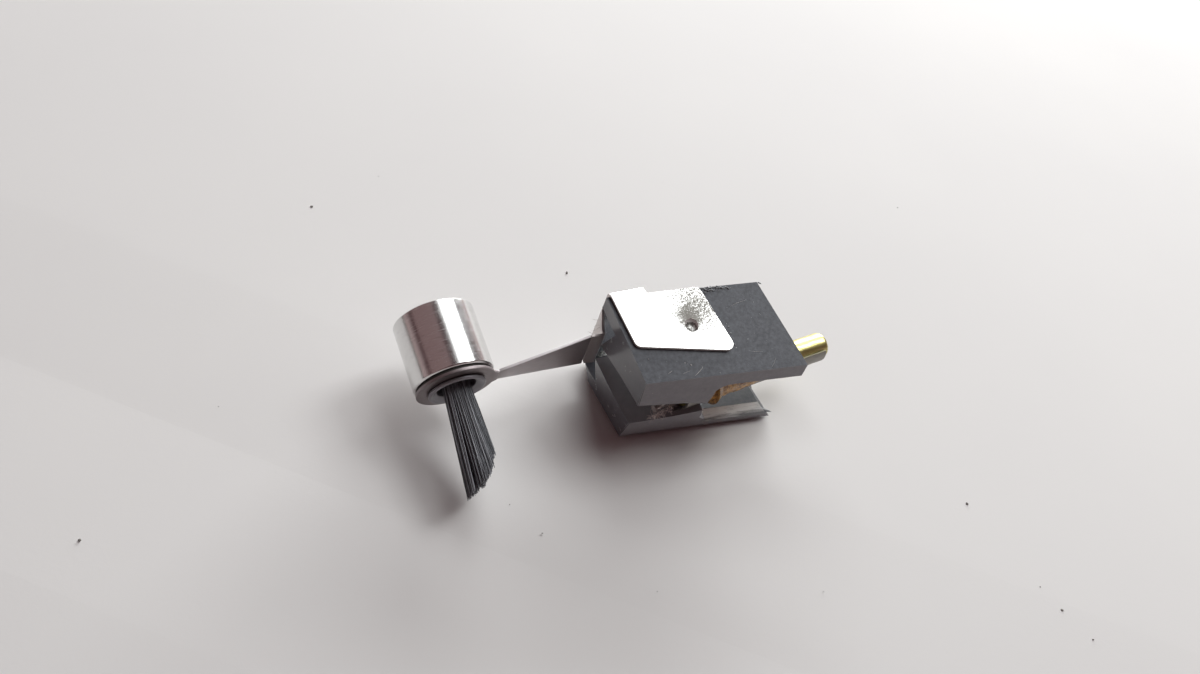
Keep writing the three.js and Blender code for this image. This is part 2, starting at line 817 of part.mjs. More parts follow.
const magnetStart = pivotFromMouth + coreHalf + 3 * seat + sleeveLength;

function makeMagnet() {
  const c = magnetChamfer;
  return axisPiece('magnet_armature', [
    [0, 0],
    [magnetRadius - c, 0],
    [magnetRadius, c],
    [magnetRadius, magnetLength - c],
    [magnetRadius - c, magnetLength],
    [0, magnetLength],
  ], axisX(magnetStart), smallSteps, looks.magnet());
}

function makeAnchor() {
  const start = tubeLength - tubeEndRound - plugFront - 3 * seat - anchorLength;
  return axisPiece('wire_anchor', [
    [wireRadius + seat, 0], [anchorRadius, 0], [anchorRadius, anchorLength], [wireRadius + seat, anchorLength],
  ], axisX(start), smallSteps, looks.brass());
}

function makeWire() {
  const start = magnetStart + magnetLength + 4 * seat;
  const end = tubeLength - tubeEndRound - seat;
  return axisPiece('tie_wire', [
    [0, 0], [wireRadius, 0], [wireRadius, end - start], [0, end - start],
  ], axisX(start), tinySteps / 2, looks.steel());
}

// Cantilever: a thin tube, straight through the pivot and cranked down towards the record
function shankPath() {
  const back = coreHalf + seat * 2 + sleeveLength - seat;
  const along = (distance) => {
    const x = pivotX + distance * Math.cos(tubeAngle);
    return new THREE.Vector3(x, tubeHeightAtZero + x * tubeTan, 0);
  };
  const bend = along(-shankStraight);
  const down = tubeAngle + shankCrank;
  const length = shankReach - shankStraight;
  const tip = bend.clone().add(new THREE.Vector3(-length * Math.cos(down), -length * Math.sin(down), 0));
  return { rear: along(back), bend, tip, down };
}

function rodBetween(a, b, outer, inner) {
  const direction = b.clone().sub(a);
  const profile = inner > 0
    ? [[inner, 0], [outer, 0], [outer, direction.length()], [inner, direction.length()]]
    : [[0, 0], [outer, 0], [outer, direction.length()], [0, direction.length()]];
  const rod = turned([...profile], tinySteps);
  rod.applyQuaternion(new THREE.Quaternion().setFromUnitVectors(new THREE.Vector3(0, 1, 0), direction.normalize()));
  rod.translate(a.x, a.y, a.z);
  return rod;
}

function makeShank() {
  const { rear, bend, tip } = shankPath();
  const path = new THREE.CatmullRomCurve3([rear, rear.clone().lerp(bend, 0.7), bend, bend.clone().lerp(tip, 0.4), tip]);
  const section = new THREE.Shape();
  section.absarc(0, 0, shankRadius, 0, 2 * Math.PI, false);
  const geometry = new THREE.ExtrudeGeometry(section, {
    steps: smallSteps, extrudePath: path, bevelEnabled: false, curveSegments: tinySteps / 2,
  });
  const mouth = tip.clone().add(tip.clone().sub(bend).normalize().multiplyScalar(seat));
  const inward = tip.clone().lerp(bend, 0.3);
  const solid = cut(solidOf(geometry), rodBetween(inward, mouth, shankBore, 0));
  return meshOf('cantilever', geometryOf(solid), looks.aluminium());
}

function tipFrame(geometry) {
  const { bend, tip } = shankPath();
  const along = tip.clone().sub(bend).normalize();
  const down = new THREE.Vector3(along.y, -along.x, 0);
  const place = tip.clone().addScaledVector(along, seat + collarLength / 2);
  const basis = new THREE.Matrix4().makeBasis(along.clone().cross(down), along, down);
  geometry.applyMatrix4(basis);
  geometry.translate(place.x, place.y, place.z);
  return geometry;
}

function makeCollar() {
  const block = new THREE.CylinderGeometry(collarRadius, collarRadius, collarLength, smallSteps);
  const hole = new THREE.CylinderGeometry(tipShankRadius + seat, tipShankRadius + seat, overcut, tinySteps);
  hole.rotateX(Math.PI / 2);
  const solid = cut(solidOf(block), hole);
  return meshOf('tip_bushing', tipFrame(geometryOf(solid)), looks.steel());
}

function makeTip() {
  const top = -collarRadius / 2;
  const shoulder = collarRadius + tipShankLength;
  const profile = [
    [0, top], [tipShankRadius, top], [tipShankRadius, shoulder], [0, shoulder + tipConeLength],
  ];
  const geometry = turned([...profile], tinySteps);
  geometry.rotateX(Math.PI / 2);
  return meshOf('diamond_tip', tipFrame(geometry), looks.diamond());
}

// Assembly, turned so that the lower leg of the clip lies flat on the table
const restPlace = [3.9, 5.2];
const play = new THREE.Group();
play.add(makeGrip(), makeClip(), makeArm());
play.add(makeTube(), makeTrough(), makeGlue(), makePlug());
play.add(makeDamper(), makeRetainer(), makeCore(), makeSleeve(), makeMagnet(), makeAnchor(), makeWire());
play.add(makeShank(), makeCollar(), makeTip());
brush.add(makeWeight(), makeBush(), makeEyelet(), makeStub());
for (let quarter = 0; quarter < 4; quarter += 1) brush.add(makeTuft(quarter));
play.add(brush);
play.rotation.x = wedgeAngle;
const restDepth = footHalf * Math.cos(wedgeAngle) + legGap + sheet;
play.position.set(-restPlace[0], -restPlace[1] * Math.cos(wedgeAngle) - footHalf * Math.sin(wedgeAngle), restDepth);

const stylus = new THREE.Group();
stylus.add(play);
stylus.updateMatrixWorld(true);

export default stylus;
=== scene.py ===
import math
import random
import bmesh
import bpy
from mathutils import Matrix, Vector, noise


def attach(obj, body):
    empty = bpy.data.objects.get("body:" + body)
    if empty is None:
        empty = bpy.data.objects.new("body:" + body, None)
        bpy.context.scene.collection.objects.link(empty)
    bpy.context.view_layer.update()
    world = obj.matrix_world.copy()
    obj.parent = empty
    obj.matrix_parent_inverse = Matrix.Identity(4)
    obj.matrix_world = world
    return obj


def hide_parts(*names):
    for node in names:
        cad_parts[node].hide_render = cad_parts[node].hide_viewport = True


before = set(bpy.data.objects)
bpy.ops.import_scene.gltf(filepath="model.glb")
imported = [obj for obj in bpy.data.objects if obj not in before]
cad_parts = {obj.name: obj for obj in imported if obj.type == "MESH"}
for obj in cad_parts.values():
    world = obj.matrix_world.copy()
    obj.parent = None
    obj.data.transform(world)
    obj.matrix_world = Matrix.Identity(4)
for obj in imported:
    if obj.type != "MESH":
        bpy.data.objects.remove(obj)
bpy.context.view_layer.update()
scene = bpy.context.scene
scene.view_settings.view_transform = "Standard"
mm = 0.001

# Camera
# A phone held close over the paper, looking down from the front left. Its wide lens stretches the
# near end of the tuft and the lower wing.
phone = bpy.data.objects.new("phone_camera", bpy.data.cameras.new("phone_camera"))
phone.location = (-30.817 * mm, -44.856 * mm, 63.959 * mm)
phone.rotation_euler = [math.radians(angle) for angle in (41.3444, -11.2181, -16.7352)]
phone.data.lens = 26.963
phone.data.sensor_width = 36
phone.data.clip_start = 1 * mm
scene.collection.objects.link(phone)
scene.camera = phone

# Sheet of paper
# Uncoated white drawing paper lying flat, with one old fold whose near side falls away a little. Its
# tooth is too fine to see, so it is drawn coarser. A few crumbs of dirt lie on it.
paper_size = 1600 * mm
paper_tooth = 0.5
paper_cloud = 40
fold_through = Vector((-54.4, 30.2, 0)) * mm
fold_across = Vector((-0.566, -0.824, 0))
fold_reach = 15 * mm
fold_drop = 0.2 * mm
fold_slack = 0.1 * mm
dirt_sunk_share = 0.2
dirt_flatness = 0.35
dirt_places = [
    (-45.9, -7.4, 0.17), (26.5, -17.3, 0.2), (-27, 26.9, 0.16), (-3.1, 15.2, 0.19), (28.7, -26, 0.1),
    (29.4, -28.3, 0.12), (30.6, -31.2, 0.1), (-12.9, -13, 0.08), (-14.9, -10, 0.07), (-5.2, -19.6, 0.06),
    (8.6, -22.4, 0.07), (-36.4, 3.1, 0.06), (41.5, 22.1, 0.09), (-19.8, 31.2, 0.07), (12.2, 28.4, 0.06),
]
crumb_axis = (0.2, 0.3, 1)
crumb_lengths = (0.7, 1.3)
crumb_widths = (0.6, 1)
dent_share = 0.45
dent_pitch = 1.7
dent_shift = 3


def linear(colour):
    """The linear value of an sRGB hex colour, with full cover"""
    parts = [int(colour[i:i + 2], 16) / 255 for i in (1, 3, 5)]
    return (*[c / 12.92 if c <= 0.04045 else ((c + 0.055) / 1.055) ** 2.4 for c in parts], 1)


def per_mm(size):
    """The scale of a pattern in object coordinates whose detail is that many millimetres across"""
    return 1 / (size * mm)


def add(finish, kind, settings=None, links=None):
    """One node in a finish, with its settings by name and its links by input name"""
    made = finish.node_tree.nodes.new("ShaderNode" + kind)
    for name, value in (settings or {}).items():
        if isinstance(name, str) and hasattr(made, name):
            setattr(made, name, value)
        else:
            made.inputs[name].default_value = value
    for name, source in (links or {}).items():
        finish.node_tree.links.new(source, made.inputs[name])
    return made


def new_finish(name, colour, roughness, metallic=0.0, **more):
    """A finish with its shader's own values set, and object coordinates to start from"""
    finish = bpy.data.materials.new(name)
    finish.use_nodes = True
    shader = finish.node_tree.nodes["Principled BSDF"]
    shader.inputs["Base Color"].default_value = linear(colour)
    shader.inputs["Roughness"].default_value = roughness
    shader.inputs["Metallic"].default_value = metallic
    for socket, value in more.items():
        shader.inputs[socket.replace("_", " ")].default_value = value
    place = add(finish, "TexCoord").outputs["Object"]
    return finish, shader, place


def feed(finish, shader, **sources):
    """Links each source to the shader's socket of that name"""
    for socket, source in sources.items():
        finish.node_tree.links.new(source, shader.inputs[socket.replace("_", " ")])


def work_in(finish, shader, share, low, high, height=None, strength=0.0, depth=0.0):
    """Tints a finish from a low to a high colour by a share, and lets a height raise it by a depth in mm"""
    tone = add(finish, "MixRGB", {"Color1": linear(low), "Color2": linear(high)}, {"Fac": share})
    feed(finish, shader, Base_Color=tone.outputs["Color"])
    if height is not None:
        relief = add(finish, "Bump", {"Strength": strength, "Distance": depth * mm}, {"Height": height})
        feed(finish, shader, Normal=relief.outputs["Normal"])


def crumbs(places, matrix, flatness, seed):
    """Small lumps, each a dented and flattened ball at (x, y, z, radius) in a piece's own millimetres"""
    dice = random.Random(seed)
    shape = bmesh.new()
    for x, y, z, radius in places:
        turn = Matrix.Rotation(dice.uniform(0, math.tau), 4, crumb_axis)
        shares = (dice.uniform(*crumb_lengths), dice.uniform(*crumb_widths), flatness)
        flat = Matrix.Diagonal((*[radius * share for share in shares], 1))
        ball = bmesh.ops.create_icosphere(shape, subdivisions=1, radius=1)["verts"]
        for point in ball:
            point.co *= 1 + dent_share * noise.noise(point.co * dent_pitch + Vector((x, y, z)) * dent_shift)
        bmesh.ops.transform(shape, matrix=matrix @ Matrix.Translation((x, y, z)) @ turn @ flat, verts=ball)
    return shape


def shown(shape, name, finishes):
    """The object of a shape, in its finishes and in the scene"""
    piece = bpy.data.objects.new(name, bpy.data.meshes.new(name))
    shape.to_mesh(piece.data)
    shape.free()
    for finish in finishes:
        piece.data.materials.append(finish)
    scene.collection.objects.link(piece)
    return piece


paper, paper_shader, paper_place = new_finish("uncoated_paper", "#dddad9", 0.85)
cloud = add(paper, "TexNoise", {"Scale": per_mm(paper_cloud), "Detail": 4}, {"Vector": paper_place})
tooth = add(
    paper, "TexNoise", {"Scale": per_mm(paper_tooth), "Detail": 5, "Roughness": 0.65},
    {"Vector": paper_place},
)
work_in(
    paper, paper_shader, cloud.outputs["Fac"], "#d9d6d5", "#e1dedc",
    tooth.outputs["Fac"], strength=0.22, depth=0.03,
)
sheet_shape = bmesh.new()
bmesh.ops.create_grid(sheet_shape, x_segments=1, y_segments=1, size=paper_size / 2)
for reach in (0, fold_reach, 2 * fold_reach):
    bmesh.ops.bisect_plane(
        sheet_shape, geom=sheet_shape.verts[:] + sheet_shape.edges[:] + sheet_shape.faces[:],
        plane_co=fold_through + fold_across * reach, plane_no=fold_across,
    )
for corner in sheet_shape.verts:
    if abs((corner.co - fold_through).dot(fold_across) - fold_reach) < fold_slack:
        corner.co.z -= fold_drop
shown(sheet_shape, "paper_sheet", [paper])

dirt_patch_size = 0.1
dirt, dirt_shader, dirt_place = new_finish("dirt", "#6d6864", 0.9)
dirt_patches = add(dirt, "TexNoise", {"Scale": per_mm(dirt_patch_size), "Detail": 2}, {"Vector": dirt_place})
work_in(dirt, dirt_shader, dirt_patches.outputs["Fac"], "#4b4846", "#8d8883")
dirt_shape = crumbs(
    [(x, y, dirt_sunk_share * size, size) for x, y, size in dirt_places], Matrix.Scale(mm, 4),
    dirt_flatness, seed=4,
)
shown(dirt_shape, "paper_crumbs", [dirt])

# Light
# A large soft window high on the right and behind has one clear pane, another pane stands beside it, and
# a pale wall low behind throws the long soft shadows. The room is pale up to the height of the furniture
# and dim above. A curtain and the table's edge on the left show in the bright weight.
daylight = "#fbffff"
lamps = {
    "window": {"turn": 30, "lift": 60, "away": 520, "size": (400, 340), "power": 1.15},
    "clear_pane": {"turn": 15, "lift": 50, "away": 520, "size": (200, 170), "power": 0.72},
    "side_pane": {"turn": 73, "lift": 46, "away": 520, "size": (170, 170), "power": 0.36},
    "pale_wall": {"turn": 62, "lift": 16, "away": 600, "size": (520, 200), "power": 4.3},
}
room_strength = 1
room_pale = "#ab9796"
room_dim = "#40282b"
pale_up_to = (0.12, 0.36)
curtain_mauve = "#7d6666"
curtain_turn, curtain_lift = 170, 52
curtain_away = 300
curtain_size = (560, 300)
table_edge_middle = Vector((-108, 30, 4))
table_edge_size = (260, 7.5)


def direction(turn, lift):
    """The way towards something at a turn and a lift above the paper, both in degrees"""
    turn, lift = math.radians(turn), math.radians(lift)
    return Vector((math.cos(lift) * math.cos(turn), math.cos(lift) * math.sin(turn), math.sin(lift)))


def card(name, finish, centre, facing, size):
    """A flat card of the room that only mirrors see"""
    sheet = bmesh.new()
    bmesh.ops.create_grid(sheet, x_segments=1, y_segments=1, size=0.5)
    turned = facing.to_track_quat("Z", "Y").to_matrix().to_4x4()
    placed = Matrix.Translation(centre) @ turned @ Matrix.Diagonal((*size, 1, 1))
    bmesh.ops.transform(sheet, verts=sheet.verts, matrix=Matrix.Scale(mm, 4) @ placed)
    hung = shown(sheet, name, [finish])
    hung.visible_camera = False
    hung.visible_shadow = False
    hung.visible_diffuse = False


for lamp_name, lamp in lamps.items():
    light = bpy.data.objects.new(lamp_name, bpy.data.lights.new(lamp_name, "AREA"))
    light.data.shape = "RECTANGLE"
    light.data.size, light.data.size_y = [side * mm for side in lamp["size"]]
    light.data.energy = lamp["power"]
    light.data.color = linear(daylight)[:3]
    towards = direction(lamp["turn"], lamp["lift"])
    light.location = towards * lamp["away"] * mm
    light.rotation_euler = towards.to_track_quat("Z", "Y").to_euler()
    scene.collection.objects.link(light)

room = bpy.data.worlds.new("room")
room.use_nodes = True
room_light = room.node_tree.nodes["Background"]
room_light.inputs["Strength"].default_value = room_strength
outlook = add(room, "TexCoord").outputs["Generated"]
outlook_axes = add(room, "SeparateXYZ", links={"Vector": outlook})
height_share = add(
    room, "MapRange", {"From Min": pale_up_to[0], "From Max": pale_up_to[1]},
    {"Value": outlook_axes.outputs["Z"]},
)
whole_room = add(
    room, "MixRGB", {"Color1": linear(room_pale), "Color2": linear(room_dim)},
    {"Fac": height_share.outputs["Result"]},
)
room.node_tree.links.new(whole_room.outputs["Color"], room_light.inputs["Color"])
scene.world = room

edge_finish, *_ = new_finish("table_edge", "#2e2a28", 0.7)
card("table_edge", edge_finish, table_edge_middle, Vector((1, 0, 0)), table_edge_size)
curtain_cloth, *_ = new_finish(
    "curtain", "#000000", 1, Emission_Color=linear(curtain_mauve), Emission_Strength=1,
)
curtain_way = direction(curtain_turn, curtain_lift)
card("curtain", curtain_cloth, curtain_way * curtain_away, -curtain_way, curtain_size)

# Grip
# One moulding of dark grey ABS with a fine spark-eroded skin. The edges are a little worn round, and
# the upper edge of the lower wing has been pared away with a knife, which leaves it pale and torn.
play_place = Vector((-3.9, -5.695054, 4.738415))
wedge_lean = math.radians(6.8)
play_matrix = Matrix.Scale(mm, 4) @ Matrix.Translation(play_place) @ Matrix.Rotation(wedge_lean, 4, "X")
play_turn = play_matrix.to_3x3()
from_play = play_matrix.inverted()
play_axes = (play_place * mm, (wedge_lean, 0, 0))
merge_within = 0.002 * mm
edge_wear = 0.05 * mm
sharp_from = math.radians(28)
flat_within = math.radians(0.6)
smooth_below = math.radians(40)
grain_size = 0.07
mottle_size = 0.35
haze_size = 0.9
inside_mottle_size = 0.5
drag_stretch = (0.4, 7, 7)
top_highlight_from, top_highlight_to = 0.1, 0.42
pared_facing = Vector((0, -0.428, 0.904))
pared_facing_least = 0.95
pared_from = 7.4
pared_below = 1.6
pared_side = -3.5
pared_x, pared_y = 9, 0.5
pared_slices = 34
slice_step = 0.2
slice_lean = 0.25
lean_pitch = 2.4
pared_levels = (0.3, 0.45, 0.6, 0.75)
pared_depth = 0.07
wide_mark_stretch, fine_mark_stretch = (0.7, 6), (4, 9)
fine_mark_share = 0.3
inside_half = 3.3
inside_from = -0.2
polished_across = 0.6


def in_millimetres(finish, place, origin, turn):
    """Object coordinates turned into millimetres along axes of a piece's own"""
    turned = add(
        finish, "Mapping",
        {"vector_type": "TEXTURE", "Location": origin, "Rotation": turn, "Scale": (mm, mm, mm)},
        {"Vector": place},
    )
    return turned.outputs["Vector"]


def in_play(face):
    """The facing and the middle of a face as the unit plays"""
    return (from_play.to_3x3() @ face.normal).normalized(), from_play @ face.calc_center_median()


def finished_copy(node, round_edge, segments=2, slack=flat_within):
    """A copy of a solid with its loose triangles merged into whole faces and its edges rounded"""
    shape = bmesh.new()
    shape.from_mesh(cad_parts[node].data)
    bmesh.ops.remove_doubles(shape, verts=shape.verts, dist=merge_within)
    bmesh.ops.dissolve_limit(shape, angle_limit=slack, verts=shape.verts, edges=shape.edges)
    if round_edge:
        worn = [e for e in shape.edges if e.is_manifold and e.calc_face_angle(0) > sharp_from]
        bmesh.ops.bevel(
            shape, geom=worn, offset=round_edge, offset_type="OFFSET", segments=segments,
            profile=0.5, affect="EDGES", material=-1, clamp_overlap=True,
        )
    return shape


def show_piece(shape, name, body, finishes, smooth_to=smooth_below):
    """Makes the object of a shape, in place, smooth up to an angle, riding on its body"""
    for face in shape.faces:
        face.smooth = True
    for edge in shape.edges:
        edge.smooth = edge.calc_face_angle(0) < smooth_to
    piece = shown(shape, name, finishes)
    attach(piece, body)
    return piece


def even_shading(piece):
    """Keeps broad flat faces evenly shaded between their rounded edges"""
    weighted = piece.modifiers.new("even_shading", "WEIGHTED_NORMAL")
    weighted.keep_sharp = True
    weighted.weight = 100


def strands(name, paths, thick, matrix, body, finish):
    """Round tapered strands along lists of (x, y, z, share of thickness), made into one mesh"""
    curve = bpy.data.curves.new(name, "CURVE")
    curve.dimensions = "3D"
    curve.bevel_depth = thick * mm
    curve.bevel_resolution = 1
    curve.use_fill_caps = True
    for path in paths:
        spline = curve.splines.new("POLY")
        spline.points.add(len(path) - 1)
        for point, (x, y, z, share) in zip(spline.points, path):
            point.co = (*(matrix @ Vector((x, y, z))), 1)
            point.radius = share
    drawn = bpy.data.objects.new(name + "_curve", curve)
    piece = bpy.data.objects.new(name, bpy.data.meshes.new_from_object(drawn))
    bpy.data.objects.remove(drawn)
    bpy.data.curves.remove(curve)
    piece.data.name = name
    piece.data.materials.clear()
    piece.data.materials.append(finish)
    piece.data.polygons.foreach_set("use_smooth", [True] * len(piece.data.polygons))
    scene.collection.objects.link(piece)
    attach(piece, body)
    return piece


moulding, moulding_shader, moulding_place = new_finish(
    "moulded_abs", "#56575c", 0.5, IOR=1.53, Specular_IOR_Level=0.3,
)
mottle = add(
    moulding, "TexNoise", {"Scale": per_mm(mottle_size), "Detail": 7, "Roughness": 0.75},
    {"Vector": moulding_place},
)
mottle_range = add(
    moulding, "MapRange", {"From Min": 0.36, "From Max": 0.64}, {"Value": mottle.outputs["Fac"]},
)
grain = add(
    moulding, "TexNoise", {"Scale": per_mm(grain_size), "Detail": 3, "Roughness": 0.6},
    {"Vector": moulding_place},
)
# The outer sides face the lamps, and are painted darker than the faces turned from them, as painted shade
work_in(
    moulding, moulding_shader, mottle_range.outputs["Result"], "#44454b", "#53555d",
    grain.outputs["Fac"], strength=0.5, depth=0.012,
)
rub = add(moulding, "MapRange", {"To Min": 0.56, "To Max": 0.42}, {"Value": mottle_range.outputs["Result"]})
feed(moulding, moulding_shader, Roughness=rub.outputs["Result"])

# The front and the record side were moulded against polished steel, and mirror the paper dimly. Their colour
# is painted paler than the outer sides, as painted light on faces turned from the lamps.
polished, polished_shader, polished_place = new_finish(
    "polished_abs_painted_paler", "#55565b", 0.24, IOR=1.53, Coat_Weight=0.35,
)
haze = add(
    polished, "TexNoise", {"Scale": per_mm(haze_size), "Detail": 6, "Roughness": 0.7},
    {"Vector": polished_place},
)
work_in(polished, polished_shader, haze.outputs["Fac"], "#54555a", "#66676d")
polished_rough = add(polished, "MapRange", {"To Min": 0.16, "To Max": 0.34}, {"Value": haze.outputs["Fac"]})
feed(polished, polished_shader, Roughness=polished_rough.outputs["Result"])

# The knife leaves the cut resin pale, with dark drag marks below. A painted highlight whitens the top of the
# cut, and the pale is raised near white as painted light against the upper wing's shade
pared, pared_shader, pared_place = new_finish("pared_abs_painted_highlight", "#8c8f8e", 0.55, IOR=1.53)
pared_play = in_millimetres(pared, pared_place, *play_axes)
drag_place = add(pared, "Mapping", {"Scale": drag_stretch}, {"Vector": pared_play})
drag = add(
    pared, "TexNoise", {"Scale": 1, "Detail": 5, "Roughness": 0.7}, {"Vector": drag_place.outputs["Vector"]},
)
pared_height = add(pared, "SeparateXYZ", links={"Vector": pared_play}).outputs["Y"]
# Painted highlight along the top of the cut
top_highlight = add(
    pared, "MapRange", {"From Min": top_highlight_from, "From Max": top_highlight_to}, {"Value": pared_height},
)
drag_share = add(
    pared, "MapRange", {"From Min": 0.4, "From Max": 0.58, "To Min": -0.3, "To Max": 0.4},
    {"Value": drag.outputs["Fac"]},
)
pale_and_highlight_share = add(
    pared, "Math", {"operation": "ADD", "use_clamp": True},
    {0: top_highlight.outputs["Result"], 1: drag_share.outputs["Result"]},
)
work_in(
    pared, pared_shader, pale_and_highlight_share.outputs["Value"], "#797b7d", "#f4f6f4",
    drag.outputs["Fac"], strength=0.6, depth=0.04,
)

# Inside, between the wings, the resin is painted paler, as painted light that lifts the shade there
inside_paler, inside_paler_shader, inside_paler_place = new_finish("abs_painted_paler_inside", "#737377", 0.6, IOR=1.53)
inside_mottle = add(
    inside_paler, "TexNoise", {"Scale": per_mm(inside_mottle_size), "Detail": 6, "Roughness": 0.7}, {"Vector": inside_paler_place},
)
work_in(inside_paler, inside_paler_shader, inside_mottle.outputs["Fac"], "#727276", "#918f93")

grip_shape = finished_copy("grip_body", edge_wear)


def is_pared(face):
    """Whether a face of the grip lies on the knife's cut"""
    facing, middle = in_play(face)
    on_cut = middle.x > pared_from and middle.y < pared_below and middle.z < 0
    return facing.dot(pared_facing) > pared_facing_least and on_cut


def slice_pared(through, across):
    """Cuts the pared faces along a plane, so that they can be roughened"""
    reached = set()
    for face in grip_shape.faces:
        if is_pared(face):
            reached.update([face], face.edges, face.verts)
    bmesh.ops.bisect_plane(
        grip_shape, geom=list(reached), dist=merge_within / 2,
        plane_co=play_matrix @ Vector(through), plane_no=play_turn @ Vector(across),
    )


for cut in range(pared_slices):
    lean = slice_lean * math.sin(cut * lean_pitch)
    slice_pared((pared_from + slice_step * (cut + 1), pared_y, pared_side), (1, lean, 0))
for level in pared_levels:
    slice_pared((pared_x, level, pared_side), (0, 1, 0))
pared_faces = [face for face in grip_shape.faces if is_pared(face)]
for face in pared_faces:
    face.material_index = 1
for point in {v for face in pared_faces for v in face.verts}:
    if all(face.material_index == 1 for face in point.link_faces):
        at = from_play @ point.co
        wide_marks = noise.noise(Vector((at.x * wide_mark_stretch[0], at.y * wide_mark_stretch[1], 3)))
        fine_marks = noise.noise(Vector((at.x * fine_mark_stretch[0], at.y * fine_mark_stretch[1], 8)))
        rough = wide_marks + fine_mark_share * fine_marks
        point.co += (play_turn @ pared_facing) * pared_depth * rough
for face in grip_shape.faces:
    facing, middle = in_play(face)
    if face.material_index == 0 and abs(facing.z) < polished_across:
        face.material_index = 2
    if face.material_index != 1 and abs(middle.z) < inside_half and middle.x > inside_from:
        face.material_index = 3
grip = show_piece(grip_shape, "grip_moulding", "grip", [moulding, pared, polished, inside_paler])
even_shading(grip)
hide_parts("grip_body")

# Torn threads hang from the cut, and its far end is drawn out into a point
torn_count = 54
torn_from, torn_to = 7.9, 14
torn_long_from = 11.5
torn_reach = (0.12, 0.5)
torn_thick = 0.07
torn_height, torn_side = 0.16, -3.95
torn_scatter = 0.12
torn_fall, torn_fall_from = 0.02, 8
short_share = 0.4
torn_streak_size = 0.12
loose_angle = math.radians(60)
torn, torn_shader, torn_place = new_finish("torn_abs", "#5c5e62", 0.6, IOR=1.53)
torn_streaks = add(torn, "TexNoise", {"Scale": per_mm(torn_streak_size), "Detail": 3}, {"Vector": torn_place})
work_in(torn, torn_shader, torn_streaks.outputs["Fac"], "#4a4b50", "#a2a4a6")
dice = random.Random(11)
torn_paths = [
    [(13.0, 0.42, -3.72, 1.5), (13.7, 0.42, -3.74, 3.2), (14.3, 0.3, -3.8, 2.8), (14.75, 0.16, -3.83, 1.2),
     (15.05, 0.05, -3.85, 0.2)],
    [(13.2, 0.2, -3.9, 1), (13.8, 0.14, -3.95, 2.2), (14.25, 0.06, -3.98, 1.4), (14.5, -0.02, -4.02, 0.3)],
]
for i in range(torn_count):
    x = dice.uniform(torn_from, torn_to)
    y = torn_height + torn_scatter * dice.random() - torn_fall * (x - torn_fall_from)
    z = torn_side - torn_scatter * dice.random()
    reach = dice.uniform(*torn_reach) * (1 if x > torn_long_from else short_share)
    torn_paths.append([
        (x, y, z, 0.7),
        (x + 0.5 * reach, y - 0.3 * reach, z - 0.1 * reach, 0.6),
        (x + reach * dice.uniform(0.4, 1), y - reach * dice.uniform(0.3, 0.9), z - 0.2 * reach, 0.15),
    ])
strands("torn_threads", torn_paths, torn_thick, play_matrix, "grip", torn)

# Crumbs of resin cling to the far edge and behind the clip
flake_flatness = 0.55
flake_places = [
    (7.2, 8.02, 5.42, 0.11), (7.7, 7.9, 5.42, 0.1), (8.3, 8.0, 5.42, 0.12), (9.3, 7.9, 5.42, 0.1),
    (9.9, 7.9, 5.42, 0.14), (10.15, 8.0, 5.42, 0.09), (8.2, 7.8, 5.42, 0.09), (8.9, 7.8, 5.4, 0.12),
    (7.6, 7.75, 5.42, 0.16), (8.65, 4.6, 5.03, 0.09), (8.75, 4.3, 4.99, 0.11), (8.78, 3.7, 4.93, 0.1),
    (8.83, 3.2, 4.87, 0.08), (8.8, 2.6, 4.8, 0.12), (8.86, 2.3, 4.75, 0.07), (13.05, 8.25, 5.46, 0.13),
    (13.2, 8.2, 5.42, 0.09), (5.89, -0.2, 2.62, 0.07), (6.54, -0.17, 2.92, 0.06), (12.1, 5.2, 5.09, 0.08),
    (11.9, 6.4, 5.24, 0.07),
]
show_piece(
    crumbs(flake_places, play_matrix, flake_flatness, seed=21), "resin_crumbs", "grip", [torn],
    smooth_to=loose_angle,
)

# A lip of resin has lifted in a ragged skin along the far edge
lip_rows = [(7.05, 9, 8.06), (7.9, 8, 8.14), (8.7, 9, 8.02), (7.6, 7, 7.9)]
lip_step = 0.16
lip_thick = 0.05
lip_jag = 0.11
lip_height = 5.46
lip_lift = 0.08
lip_share, lip_share_jag = 1.1, 0.7
lip_paths = []
for lip_start, lip_steps, lip_y in lip_rows:
    lip_path = []
    for step in range(lip_steps):
        jag = dice.uniform(-1, 1)
        x, y = lip_start + lip_step * step, lip_y + lip_jag * jag
        lip_path.append((x, y, lip_height + lip_lift * dice.random(), lip_share + lip_share_jag * jag))
    lip_paths.append(lip_path)
strands("lifted_lip", lip_paths, lip_thick, play_matrix, "grip", torn)

# Dust and scratches lie on the upper wing
side_height = 4.49
side_slope = math.tan(wedge_lean)
dust_count = 46
dust_along, dust_up = (-0.2, 13.2), (0.1, 8)
dust_radii = (0.012, 0.028)
dust_flatness = 0.4
dust_patch_size = 0.08
scratch_thick = 0.022
nick_thick = 0.035


def on_side(x, y, share=1.0, lift=0.0):
    """A point on the upper wing's outer side"""
    return (x, y, side_height + side_slope * y + lift, share)


dust, dust_shader, dust_place = new_finish("dust", "#b5b3b1", 0.9)
dust_patches = add(dust, "TexNoise", {"Scale": per_mm(dust_patch_size), "Detail": 2}, {"Vector": dust_place})
work_in(dust, dust_shader, dust_patches.outputs["Fac"], "#8c8a89", "#d4d2cf")
dust_places = [
    (0.77, 2.14, 4.755, 0.06), (4.3, 1.2, 4.64, 0.075), (3.83, 1.44, 4.67, 0.05), (10.19, 2.97, 4.85, 0.05),
    (4.05, 1.32, 4.65, 0.04), (2.1, 3.1, 4.87, 0.04), (0.9, -0.1642, 3.1, 0.045),
]
for i in range(dust_count):
    x, y = dice.uniform(*dust_along), dice.uniform(*dust_up)
    dust_places.append(on_side(x, y, dice.uniform(*dust_radii), lift=0.004))
show_piece(
    crumbs(dust_places, play_matrix, dust_flatness, seed=5), "grip_dust", "grip", [dust],
    smooth_to=loose_angle,
)
